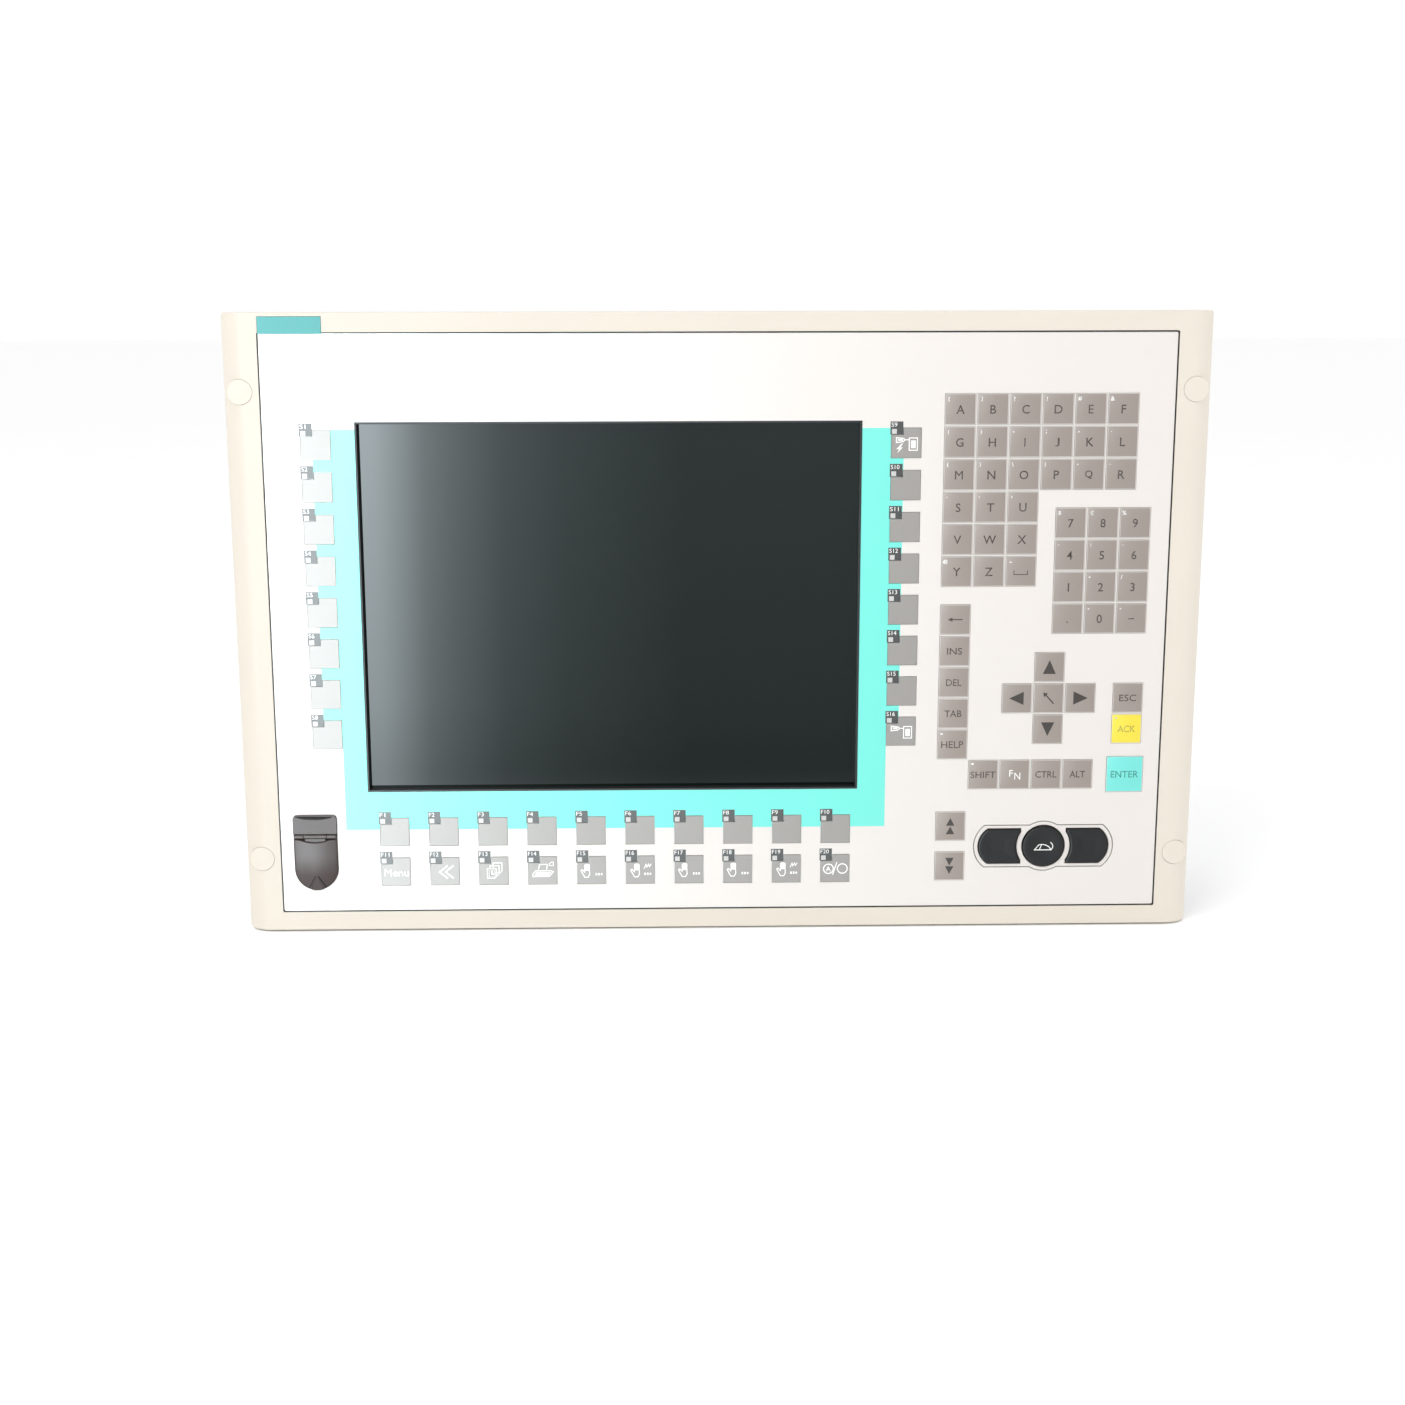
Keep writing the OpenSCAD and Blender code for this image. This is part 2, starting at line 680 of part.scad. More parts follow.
lip_cols = 5;
lip_rows = 3;
LIP_SCREWS = concat(
  [for (i = [0:lip_cols - 1], z = [-1, 1])
     [-screw_inset_x + 2*screw_inset_x*i/(lip_cols - 1), z*screw_inset_z]],
  [for (j = [1:lip_rows - 2], x = [-1, 1])
     [x*screw_inset_x, -screw_inset_z + 2*screw_inset_z*j/(lip_rows - 1)]]);
y_cover = housing_d - sheet_t;

// Openings in the bottom wall, as [x, y centre, width, depth]
board_y = y_cover - 8.5;
TERMINAL = [front_w/2 - 106, y_cover - 22, 20, 12];
ROCKER = [front_w/2 - 66, y_cover - 22, 19, 13];
SUB_X = [-88, -50, -12];
NETWORK_X = 22;
USB_X = 50;
sub_w = 31;
shell_w = 18;
shell_d = 8.4;
jack_x = 12.5;
jack_r = 1.4;
jack_fit = 0.1;
network_w = 16;
usb_w = 14;
port_d = 13;
port_z = 22;
port_y = board_y - port_d/2;
NETWORK_HOLE = [11.8, 7.6, 12];

module slot(x, y, w, d, z0, z1) {
  block([x - w/2, y - d/2, z0], [x + w/2, y + d/2, z1]);
}

// Opening through the bottom wall
module wall_slot(x, y, w, d) {
  slot(x, y, w, d, -housing_z - 1, -housing_z + 3);
}

vent_w = 3;
vent_l = 34;
vent_n = 16;
vent_step = 9;
module housing() color("lightsteelblue") difference() {
  slab(0, y_cover) rect([0, 0], 2*housing_x, 2*housing_z);
  slab(sheet_t, y_cover - sheet_t)
    rect([0, 0], 2*(housing_x - sheet_t), 2*(housing_z - sheet_t));
  slab(-1, y_cover + 1) rect([0, 0], 2*(housing_x - lip_w), 2*(housing_z - lip_w));
  // room for the port's pocket in the front lip
  slab(-1, sheet_t + 1) rect(pocket_at, pocket_w + 5, pocket_h + 5);
  for (s = LIP_SCREWS) peg(s, thread_r + screw_fit, -1, sheet_t + 1);
  for (s = COVER_SCREWS) peg(s, thread_r + screw_fit, y_cover - sheet_t - 1, y_cover + 1);
  // vents in the top and bottom walls
  for (i = [0:vent_n - 1], z = [0, 1]) {
    x = (i - (vent_n - 1)/2)*vent_step;
    top = z == 1;
    slot(x, 32, vent_w, vent_l, top ? housing_z - 3 : -housing_z - 1,
         top ? housing_z + 1 : -housing_z + 3);
  }
  // connector openings in the bottom wall
  for (x = SUB_X) {
    wall_slot(x, port_y, shell_w + 1, shell_d + 1);
    for (side = [-1, 1]) translate([x + side*jack_x, port_y, -housing_z - 1])
      cylinder(r = jack_r + jack_fit, h = 4);
  }
  wall_slot(NETWORK_X, port_y, network_w + 0.2, port_d + 0.2);
  wall_slot(USB_X, port_y, usb_w + 0.2, port_d + 0.2);
  wall_slot(TERMINAL.x, TERMINAL.y, TERMINAL[2] + 0.2, TERMINAL[3] + 0.2);
  wall_slot(ROCKER.x, ROCKER.y, ROCKER[2] + 0.2, ROCKER[3] + 0.2);
  translate([earth_at.x, earth_at.y, -housing_z - 1]) cylinder(r = earth_r + screw_fit, h = 4);
}

cover_cols = 4;
cover_z = housing_z - 5;
COVER_SCREWS = concat(
  [for (i = [0:cover_cols - 1], z = [-1, 1])
     [-screw_inset_x + 2*screw_inset_x*i/(cover_cols - 1), z*cover_z]],
  [for (x = [-1, 1]) [x*screw_inset_x, 0]]);

fan_at = [housing_x - 60, housing_z - 80];
fan_hole = 1.9;
fan_step = 5.4;
grille_r = fan_size/2 - 4;
board_at = [2, -housing_z + 104];
board_w = 214;
board_h = 180;
disk_at = [-housing_x + 62.5, housing_z - 86];
disk_w = 101.6;
disk_l = 146;
disk_t = 25.4;
supply_w = 96;
supply_h = 118;
supply_d = 42;
supply_at = [housing_x - 61, -housing_z + 84];
louvre_n = 9;

module rear_cover() color("lightsteelblue") {
  slab(y_cover, housing_d) difference() {
    rect([0, 0], 2*housing_x - 0.4, 2*housing_z - 0.4);
    for (s = COVER_SCREWS) translate(s) circle(thread_r + screw_fit);
    // fan grille: round holes on a square grid inside the fan's circle
    for (i = [-4:4], j = [-4:4])
      if (norm([i, j])*fan_step < grille_r)
        translate(fan_at + fan_step*[i, j]) circle(fan_hole, $fn = 24);
    // vent slots over the board
    for (i = [0:louvre_n - 1])
      rect([-8, housing_z - 30 - 7*i], 90, 3);
  }
  // standoffs for the board and the disk
  for (x = [-1, 0, 1], z = [-1, 1])
    peg(board_at + [x*(board_w/2 - 6), z*(board_h/2 - 6)], 3, board_y + board_t, y_cover);
  for (x = [-1, 1], z = [-1, 1])
    peg(disk_at + [x*(disk_w/2 - 6), z*(disk_l/2 - 20)], 3, y_cover - 5, y_cover);
}

// Pan-head screw whose head seats at y_seat and faces the rear
cross_l = 3;
cross_w = 0.7;
cross_d = 0.8;
module screw(at, y_seat, length) {
  peg(at, thread_r, y_seat - length, y_seat);
  difference() {
    peg(at, head_r, y_seat, y_seat + head_t);
    slab(y_seat + head_t - cross_d, y_seat + head_t + 1) {
      rect(at, cross_l, cross_w);
      rect(at, cross_w, cross_l);
    }
  }
}
module case_screws() color("silver") {
  for (s = LIP_SCREWS) screw(s, sheet_t, 6);
  for (s = COVER_SCREWS) screw(s, housing_d, 6);
  for (p = TRAY_POSTS) screw(p, y_tray + ear_t, 6);
  for (p = BOARD_POSTS) screw(p, y_board + board_t, 3.6);
}

module main_board() color("darkgreen") {
  slab(board_y, board_y + board_t) rect(board_at, board_w, board_h);
  // chips, memory socket and capacitors
  block([board_at.x - 20, board_y - 3, board_at.y - 10], [board_at.x + 15, board_y, board_at.y + 25]);
  block([board_at.x - 90, board_y - 2, board_at.y - 30], [board_at.x - 64, board_y, board_at.y - 4]);
  block([board_at.x + 60, board_y - 30, board_at.y - 65], [board_at.x + 66, board_y, board_at.y + 70]);
  for (i = [0:3]) peg(board_at + [-85 + 14*i, 60], 5, board_y - 12, board_y);
}

sink_n = 11;
module heat_sink() color("silver") {
  block([board_at.x - 42, board_y - 7, board_at.y - 32], [board_at.x + 38, board_y - 3, board_at.y + 48]);
  for (i = [0:sink_n - 1])
    block([board_at.x - 42 + i*(80 - 1.6)/(sink_n - 1), board_y - 28, board_at.y - 32],
          [board_at.x - 42 + i*(80 - 1.6)/(sink_n - 1) + 1.6, board_y - 7 + eps, board_at.y + 48]);
}

module power_supply() color("silver") difference() {
  slab(y_cover - supply_d, y_cover) rect(supply_at, supply_w, supply_h);
  // cooling slots in its inner face
  for (i = [0:8])
    slab(y_cover - supply_d - 1, y_cover - supply_d + 2)
      rect(supply_at + [0, -40 + 10*i], 60, 3);
}

terminal_t = 15;
module power_terminal() color("seagreen") difference() {
  union() {
    slot(TERMINAL.x, TERMINAL.y, TERMINAL[2], TERMINAL[3], -housing_z - 5, -housing_z + terminal_t);
    slot(TERMINAL.x, TERMINAL.y, TERMINAL[2] + 4, TERMINAL[3] + 3, -housing_z - 1.6, -housing_z);
  }
  for (i = [-1, 0, 1]) {
    translate([TERMINAL.x + i*5.6, TERMINAL.y - 2.6, -housing_z - 6]) cylinder(r = 1.6, h = 9);
    translate([TERMINAL.x + i*5.6, TERMINAL.y + 2.8, -housing_z - 6]) cylinder(r = 1.9, h = 2);
  }
}

rocker_w = 15;
rocker_d = 9;
rocker_fit = 0.35;
rocker_tilt = 8;
rocker_pin = 1;
module switch_bezel() color("black") difference() {
  union() {
    slot(ROCKER.x, ROCKER.y, ROCKER[2], ROCKER[3], -housing_z - 1, -housing_z + 12);
    slot(ROCKER.x, ROCKER.y, ROCKER[2] + 3, ROCKER[3] + 3, -housing_z - 1.6, -housing_z);
  }
  slot(ROCKER.x, ROCKER.y, rocker_w + 2*rocker_fit, rocker_d + 2*rocker_fit,
       -housing_z - 3, -housing_z + 8);
  translate([ROCKER.x, ROCKER.y, -housing_z + 2]) rotate([90, 0, 0])
    cylinder(r = rocker_pin + 0.05, h = rocker_d + 3, center = true);
}

// Rocker: two flats that meet in a shallow valley, on a cross pin
module power_rocker() color("black")
  translate([ROCKER.x, ROCKER.y, -housing_z + 2]) rotate([0, rocker_tilt, 0]) {
    rotate([90, 0, 0]) linear_extrude(rocker_d, center = true)
      polygon([[-7.1, -5], [0, -3.9], [7.1, -5], [6.2, 1.5], [-6.2, 1.5]]);
    rotate([90, 0, 0]) cylinder(r = rocker_pin, h = rocker_d + 2.4, center = true);
  }

// ---- fan -----------------------------------------------------------------

fan_bore = fan_size/2 - 1.8;
hub_r = 10;
blade_n = 7;
blade_tip = fan_bore - 0.9;
y_fan = y_cover - fan_depth;
module fan_body() color("black") {
  difference() {
    slab(y_fan, y_cover) round_rect(fan_at, fan_size, fan_size, 3);
    peg(fan_at, fan_bore, y_fan - 1, y_cover + 1);
    for (x = [-1, 1], z = [-1, 1])
      peg(fan_at + (fan_size/2 - 4)*[x, z], 1.7, y_fan - 1, y_cover + 1);
  }
  difference() {
    union() {
      peg(fan_at, hub_r, y_fan, y_fan + 2);
      slab(y_fan, y_fan + 2) for (a = [45:90:315])
        translate(fan_at) rotate(a) translate([hub_r - 1, -1.5]) square([fan_bore - hub_r + 1.5, 3]);
    }
    peg(fan_at, 1.55, y_fan - 1, y_fan + 3);
  }
}

module fan_rotor() color("dimgray") {
  peg(fan_at, hub_r, y_fan + 2.6, y_cover - 1);
  peg(fan_at, 1.5, y_fan + 0.2, y_fan + 2.6);
  for (i = [0:blade_n - 1])
    translate([fan_at.x, y_fan + fan_depth/2 + 0.8, fan_at.y]) rotate([0, 360*i/blade_n, 0])
      translate([hub_r - 1, 0, 0]) rotate([38, 0, 0])
        translate([0, -0.5, -6.5]) cube([blade_tip - hub_r + 0.6, 1, 13]);
}

// ---- drives and connectors ------------------------------------------------

module hard_disk() color("silver") {
  slab(y_cover - 5 - disk_t, y_cover - 5) rect(disk_at, disk_w, disk_l);
}

// Three nine-pin sockets, a network socket and a double port
module rear_connectors() color("silver") {
  for (x = SUB_X) {
    slot(x, port_y, sub_w, port_d, -housing_z + sheet_t, -housing_z + port_z);
    difference() {
      slot(x, port_y, shell_w, shell_d, -housing_z - 6, -housing_z + sheet_t + eps);
      for (i = [0:4]) translate([x + 2.8*(i - 2), port_y - 1.4, -housing_z - 7])
        cylinder(r = 0.6, h = 5, $fn = 16);
      for (i = [0:3]) translate([x + 2.8*(i - 1.5), port_y + 1.4, -housing_z - 7])
        cylinder(r = 0.6, h = 5, $fn = 16);
    }
    for (side = [-1, 1]) translate([x + side*jack_x, port_y, -housing_z]) {
      cylinder(r = jack_r, h = sheet_t + eps);
      translate([0, 0, -5]) cylinder(r = 2.6, h = 5, $fn = 6);
    }
  }
  difference() {
    slot(NETWORK_X, port_y, network_w, port_d, -housing_z - 0.6, -housing_z + port_z);
    slot(NETWORK_X, port_y, NETWORK_HOLE.x, NETWORK_HOLE.y, -housing_z - 1, -housing_z + NETWORK_HOLE.z);
  }
  difference() {
    slot(USB_X, port_y, usb_w, port_d, -housing_z - 0.6, -housing_z + port_z);
    for (side = [-1, 1]) difference() {
      slot(USB_X, port_y + side*3.1, 12.4, 4.6, -housing_z - 1, -housing_z + 10);
      slot(USB_X, port_y + side*3.1, 11, 1.6, -housing_z, -housing_z + 11);
    }
  }
}

earth_at = [front_w/2 - 40, y_cover - 22];
earth_r = 2.5;
module earth_stud() color("goldenrod")
  translate([earth_at.x, earth_at.y, -housing_z]) {
    translate([0, 0, -14]) cylinder(r = earth_r, h = 18);
    translate([0, 0, sheet_t]) cylinder(r = 4.6, h = 3, $fn = 6);
    translate([0, 0, -3]) cylinder(r = 4.6, h = 3, $fn = 6);
  }

front_frame();
hole_caps();
name_plate();
overlay_foil();
key_plate();
panel_seal();
display_surround();
display_glass();
display_cell();
display_tray();
backlight_lamps();
lamp_inverter();
switch_board();
switch_domes();
light_pipes();
function_keys_upper();
function_keys_lower();
soft_keys_left();
soft_keys_right();
letter_keys();
digit_keys();
edit_keys();
key_up();
key_left();
key_home();
key_right();
key_down();
key_escape();
key_acknowledge();
key_enter();
key_shift();
key_fn();
key_control();
key_alt();
key_page_up();
key_page_down();
pointer_surround();
pointer_gimbal();
pointer_disc();
pointer_button_left();
pointer_button_right();
pointer_sensor();
port_frame();
port_flap();
flap_pin();
port_socket();
housing();
rear_cover();
case_screws();
main_board();
heat_sink();
power_supply();
power_terminal();
switch_bezel();
power_rocker();
fan_body();
fan_rotor();
hard_disk();
rear_connectors();
earth_stud();
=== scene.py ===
# %% [markdown]
# # An operator panel, finished in Blender
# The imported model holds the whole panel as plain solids: a painted front, a
# keypad under a foil, a sunk display, a pointing device, a port flap and a
# steel computer housing behind. This lesson gives those solids the edges,
# prints and surfaces of the real thing. Nothing is moved, because the solids
# already sit where they belong.

# %% Load the solids
import json
import math
import bmesh
import bpy
import numpy as np
from mathutils import Matrix, Vector

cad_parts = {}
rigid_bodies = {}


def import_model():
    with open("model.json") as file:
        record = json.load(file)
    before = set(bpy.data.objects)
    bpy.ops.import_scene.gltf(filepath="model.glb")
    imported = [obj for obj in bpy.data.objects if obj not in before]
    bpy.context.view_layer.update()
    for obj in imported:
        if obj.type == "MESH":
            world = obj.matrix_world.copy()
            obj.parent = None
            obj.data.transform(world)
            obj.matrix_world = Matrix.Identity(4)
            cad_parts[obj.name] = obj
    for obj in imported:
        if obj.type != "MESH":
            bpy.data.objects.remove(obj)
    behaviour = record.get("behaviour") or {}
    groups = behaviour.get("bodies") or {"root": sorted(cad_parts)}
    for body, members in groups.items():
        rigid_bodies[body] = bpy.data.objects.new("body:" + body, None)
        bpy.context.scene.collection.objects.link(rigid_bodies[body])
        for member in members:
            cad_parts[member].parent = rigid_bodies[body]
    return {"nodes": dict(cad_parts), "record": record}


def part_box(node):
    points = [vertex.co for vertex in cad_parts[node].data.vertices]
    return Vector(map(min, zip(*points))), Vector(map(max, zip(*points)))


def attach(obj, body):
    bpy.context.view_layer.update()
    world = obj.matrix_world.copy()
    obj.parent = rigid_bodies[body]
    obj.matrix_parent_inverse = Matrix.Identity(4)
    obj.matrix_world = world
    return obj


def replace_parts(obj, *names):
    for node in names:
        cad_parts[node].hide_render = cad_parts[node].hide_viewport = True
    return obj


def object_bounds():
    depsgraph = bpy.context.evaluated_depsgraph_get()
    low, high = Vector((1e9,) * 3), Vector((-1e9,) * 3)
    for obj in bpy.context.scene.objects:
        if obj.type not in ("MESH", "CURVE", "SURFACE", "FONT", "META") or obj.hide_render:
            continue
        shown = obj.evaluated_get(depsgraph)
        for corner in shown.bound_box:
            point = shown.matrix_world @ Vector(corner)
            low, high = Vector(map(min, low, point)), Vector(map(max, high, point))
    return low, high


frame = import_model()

MM = 0.001
nodes = frame["nodes"]
cad_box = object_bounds()
body_of_node = {n: b for b, members in frame["record"]["behaviour"]["bodies"].items() for n in members}
slot_of_node = {s["node"]: s["material_slot"] for s in frame["record"]["subparts"]}

# %% [markdown]
# ## Camera
# The panel is looked at from the front, about eleven degrees above and a
# little to its left, with a normal lens. A camera points along its own -Z, so
# it is tipped up by nearly a right angle to look level.

# %% Place the camera
def linked(name, data):
    """A new object in the scene."""
    made = bpy.data.objects.new(name, data)
    bpy.context.scene.collection.objects.link(made)
    return made


camera = linked("camera", bpy.data.cameras.new("camera"))
camera.data.lens = 52.93
camera.data.sensor_width = 36.0
camera.location = Vector((-30.0, -1021.7, 184.8)) * MM
camera.rotation_euler = [math.radians(a) for a in (77.610, 0.101, -1.218)]
bpy.context.scene.camera = camera
print("camera at", tuple(round(c, 3) for c in camera.location))

# %% [markdown]
# ## Shader and node maths in plain Python
# A node tree is only a formula drawn with boxes. A small class wraps one
# output socket, so that a formula can be typed as a formula: adding two
# signals adds a Math node. Every other node comes from one method.

# %% The signal class
class Signal:
    """One output socket of a node tree, ready for sums."""

    def __init__(self, tree, socket=None):
        self.tree, self.socket = tree, socket

    def node(self, kind, settings=None, inputs=None, out=0):
        """Adds a node: first its settings, then the values or links of its sockets."""
        made = self.tree.nodes.new(kind)
        for key, value in (settings or {}).items():
            if key == "stops":
                ramp = made.color_ramp
                while len(ramp.elements) < len(value):
                    ramp.elements.new(0.5)
                for stop, (place, colour) in zip(ramp.elements, value):
                    stop.position, stop.color = place, (*colour, 1.0)
            else:
                setattr(made, key, value)
        for key, value in (inputs or {}).items():
            if isinstance(value, list):
                for one in value:
                    self.tree.links.new(one.socket, made.inputs[key])
            elif isinstance(value, Signal):
                self.tree.links.new(value.socket, made.inputs[key])
            else:
                made.inputs[key].default_value = value
        return Signal(self.tree, made.outputs[out])

    def other(self, out):
        """Another output of the same node."""
        return Signal(self.tree, self.socket.node.outputs[out])

    def math(self, operation, *terms):
        return self.node("ShaderNodeMath", {"operation": operation}, dict(enumerate(terms)))

    def __add__(self, term): return self.math("ADD", self, term)
    __radd__ = __add__
    def __mul__(self, term): return self.math("MULTIPLY", self, term)
    __rmul__ = __mul__
    def __sub__(self, term): return self.math("SUBTRACT", self, term)
    def __rsub__(self, term): return self.math("SUBTRACT", term, self)
    def __truediv__(self, term): return self.math("DIVIDE", self, term)


print("signal class ready")

# %% [markdown]
# ## Finishes
# A finish starts with a Principled shader. What is the same all over goes
# straight onto its sockets. What varies is built from noise in object
# coordinates, which are metres here, so a noise scale of 1000 gives grains
# about a millimetre across.

# %% Start a finish
def new_finish(name, metallic=0.0, specular=0.5, ior=1.5):
    """A material, its Principled shader and a signal to build on."""
    material = bpy.data.materials.new(name)
    material.use_nodes = True
    shader = material.node_tree.nodes["Principled BSDF"]
    shader.inputs["Metallic"].default_value = metallic
    shader.inputs["Specular IOR Level"].default_value = specular
    shader.inputs["IOR"].default_value = ior
    return material, shader, Signal(material.node_tree)


def feed(shader, socket, signal):
    signal.tree.links.new(signal.socket, shader.inputs[socket])


def noise(start, scale, detail=2.0, stretch=(1, 1, 1)):
    """Noise in object coordinates, optionally stretched."""
    place = start.node("ShaderNodeTexCoord", out="Object")
    if tuple(stretch) != (1, 1, 1):
        place = start.node("ShaderNodeMapping", inputs={"Vector": place, "Scale": stretch})
    return start.node("ShaderNodeTexNoise", inputs={"Vector": place, "Scale": scale, "Detail": detail})


def relief(start, shader, height, strength, lift):
    """Lets a height raise the surface by some millimetres."""
    feed(shader, "Normal", start.node("ShaderNodeBump", inputs={
        "Height": height, "Strength": strength, "Distance": lift * MM}))


def tint(colour, factor):
    return (*[min(1.0, c * factor) for c in colour], 1.0)


def mix(start, factor, a, b):
    made = start.tree.nodes.new("ShaderNodeMix")
    made.data_type = "RGBA"
    for index, value in ((0, factor), (6, a), (7, b)):
        if isinstance(value, Signal):
            start.tree.links.new(value.socket, made.inputs[index])
        else:
            made.inputs[index].default_value = value
    return Signal(start.tree, made.outputs[2])


print("finish helpers ready")

# %% [markdown]
# ## A moulded or coated surface
# Paint, foil, rubber and plastic differ mostly in grain. Paint shows a fine
# orange peel, printed foil is glossy with a dense tooth, rubber has a soft
# bloom. One recipe serves them all: slow noise shifts the colour a
# little, fast noise shifts the roughness and lifts the surface.

# %% Coated finishes
def coated(name, colour, roughness, grain=900.0, lift=0.02, shift=0.03, specular=0.5):
    """Slow noise for the colour, fast noise for the gloss and the relief."""
    material, shader, start = new_finish(name, specular=specular)
    slow = noise(start, 14.0, 3.0)
    fast = noise(start, grain)
    feed(shader, "Base Color", mix(start, slow, tint(colour, 1 - shift), tint(colour, 1 + shift)))
    feed(shader, "Roughness", roughness + (fast - 0.5) * 0.12)
    relief(start, shader, fast, 0.35, lift)
    return material


def key_print(name, colour, shift=0.03):
    """A glossy print on the foil, as on the keys."""
    return coated(name, colour, 0.40, 2600, 0.010, shift, 0.9)


finishes = {
    "frame_paint": coated("beige_powder_coat", (0.68, 0.63, 0.553), 0.42, 1400, specular=0.1),
    "foil": key_print("keypad_foil", (0.685, 0.638, 0.605), 0.012),
    "seal_rubber": coated("foam_strip", (0.03, 0.03, 0.03), 0.9, 700, 0.2),
    "black_plastic": coated("black_moulding", (0.012, 0.012, 0.013), 0.5, 1100, 0.03, specular=0.35),
    "lamp_white": coated("milky_light_guide", (0.78, 0.78, 0.76), 0.3, 500, 0.01),
    "key_neutral": key_print("neutral_key_print", (0.262, 0.240, 0.222), 0.015),
    "key_warm": key_print("warm_key_print", (0.278, 0.228, 0.200), 0.015),
    "key_yellow": key_print("yellow_key_print", (0.79, 0.64, 0.012)),
    "key_turquoise": key_print("turquoise_key_print", (0.135, 0.655, 0.59)),
    "gimbal_plastic": coated("acetal_ring", (0.50, 0.50, 0.49), 0.4),
    "pointer_black": coated("soft_touch_black", (0.009, 0.0075, 0.0075), 0.5, 1800, specular=0.30),
    "flap_grey": coated("dark_grey_rubber", (0.061, 0.047, 0.044), 0.38, 1200, 0.015, specular=0.02),
    "plate_turquoise": coated("plate_enamel", (0.06, 0.295, 0.288), 0.35, lift=0.01, specular=0.22),
    "terminal_green": coated("terminal_block", (0.03, 0.30, 0.12), 0.45),
    "display_black": coated("dark_cell", (0.012, 0.018, 0.015), 0.35, 4000, 0.005),
}
print("coated finishes:", len(finishes))

# %% [markdown]
# ## Bare metals
# Brushed and rolled metal has grain along one direction, so its noise is
# squeezed across the grain. Hot-dip zinc freezes into flat crystals, called
# spangle: a Voronoi pattern gives each crystal its own shade and gloss.

# %% Metal finishes
def brushed(name, colour, roughness, stretch=(20, 300, 2600)):
    material, shader, start = new_finish(name, metallic=1.0)
    grain = noise(start, 1.0, 3.0, stretch)
    feed(shader, "Base Color", mix(start, grain, tint(colour, 0.9), tint(colour, 1.08)))
    feed(shader, "Roughness", roughness + (grain - 0.5) * 0.25)
    relief(start, shader, grain, 0.2, 0.01)
    return material


def spangled(name, colour, roughness):
    material, shader, start = new_finish(name, metallic=1.0)
    place = start.node("ShaderNodeTexCoord", out="Object")
    cells = start.node("ShaderNodeTexVoronoi", {"feature": "F1"}, {"Vector": place, "Scale": 150.0}, out="Color")
    shade = start.node("ShaderNodeSeparateColor", inputs={"Color": cells})
    cloud = noise(start, 25.0, 4.0)
    blend = shade * 0.6 + cloud * 0.4
    feed(shader, "Base Color", mix(start, blend, tint(colour, 0.88), tint(colour, 1.08)))
    feed(shader, "Roughness", roughness + (shade.other(1) - 0.5) * 0.14)
    relief(start, shader, cloud, 0.1, 0.05)
    return material


finishes |= {
    "sheet_steel": spangled("zinc_sheet", (0.66, 0.68, 0.69), 0.38),
    "screw_zinc": brushed("zinc_screw", (0.72, 0.72, 0.70), 0.3, (900, 900, 900)),
    "dome_steel": brushed("spring_steel", (0.72, 0.72, 0.73), 0.25),
    "plate_aluminium": brushed("rolled_aluminium", (0.80, 0.80, 0.80), 0.35),
    "sink_aluminium": brushed("extruded_aluminium", (0.74, 0.75, 0.76), 0.4, (2400, 20, 20)),
    "disk_aluminium": brushed("cast_aluminium", (0.62, 0.63, 0.64), 0.45, (500, 500, 500)),
    "stud_brass": brushed("turned_brass", (0.80, 0.60, 0.28), 0.28, (600, 600, 40)),
}
print("finishes:", len(finishes))

# %% [markdown]
# ## Circuit boards
# Solder mask is a green lacquer over copper. The copper runs in straight
# lines with small steps, which a brick pattern imitates well: the mortar
# lines are the traces, a little lighter and a little proud.

# %% Solder mask
def solder_mask():
    material, shader, start = new_finish("solder_mask")
    place = start.node("ShaderNodeTexCoord", out="Object")
    flat = start.node("ShaderNodeMapping", inputs={"Vector": place, "Rotation": (math.pi / 2, 0, 0)})
    traces = start.node("ShaderNodeTexBrick", {"offset": 0.37}, {
        "Vector": flat, "Scale": 260.0, "Mortar Size": 0.035, "Brick Width": 2.3, "Row Height": 0.3}, out="Fac")
    slow = noise(start, 40.0)
    lacquer = mix(start, slow, (0.012, 0.12, 0.045, 1), (0.02, 0.17, 0.07, 1))
    feed(shader, "Base Color", mix(start, traces, lacquer, (0.05, 0.30, 0.14, 1)))
    feed(shader, "Roughness", 0.28 + slow * 0.1)
    relief(start, shader, traces, 0.3, 0.03)
    return material


finishes["board_green"] = solder_mask()
print("solder mask ready")

# %% [markdown]
# ## Protective glass
# An unlit display is a nearly black, slightly green sheet under glass. Light
# that enters hardly returns, so the glass here is a dark glossy sheet whose
# reflections do the work. Fine dust roughens it a little in places.

# %% Glass over the dark display
def dark_glass():
    material, shader, start = new_finish("screen_glass", ior=1.43)
    dust = noise(start, 60.0, 4.0)
    feed(shader, "Base Color", mix(start, dust, (0.0010, 0.0042, 0.0024, 1), (0.0022, 0.0060, 0.0038, 1)))
    feed(shader, "Roughness", 0.035 + dust * 0.03)
    return material


finishes["screen_glass"] = dark_glass()
print("slots without a finish:", sorted(set(slot_of_node.values()) - set(finishes)))

# %% [markdown]
# ## Inks
# Everything printed on the foil is ink of one of a few colours. An ink layer
# is so thin that only its colour and its slight gloss matter, but it is made
# as a real closed sheet a few hundredths of a millimetre thick. That keeps
# letters crisp at any distance, which a painted texture would not.

# %% Ink colours
def ink(name, colour, roughness=0.40, specular=0.9):
    return coated(name, colour, roughness, 2600, 0.006, 0.02, specular)


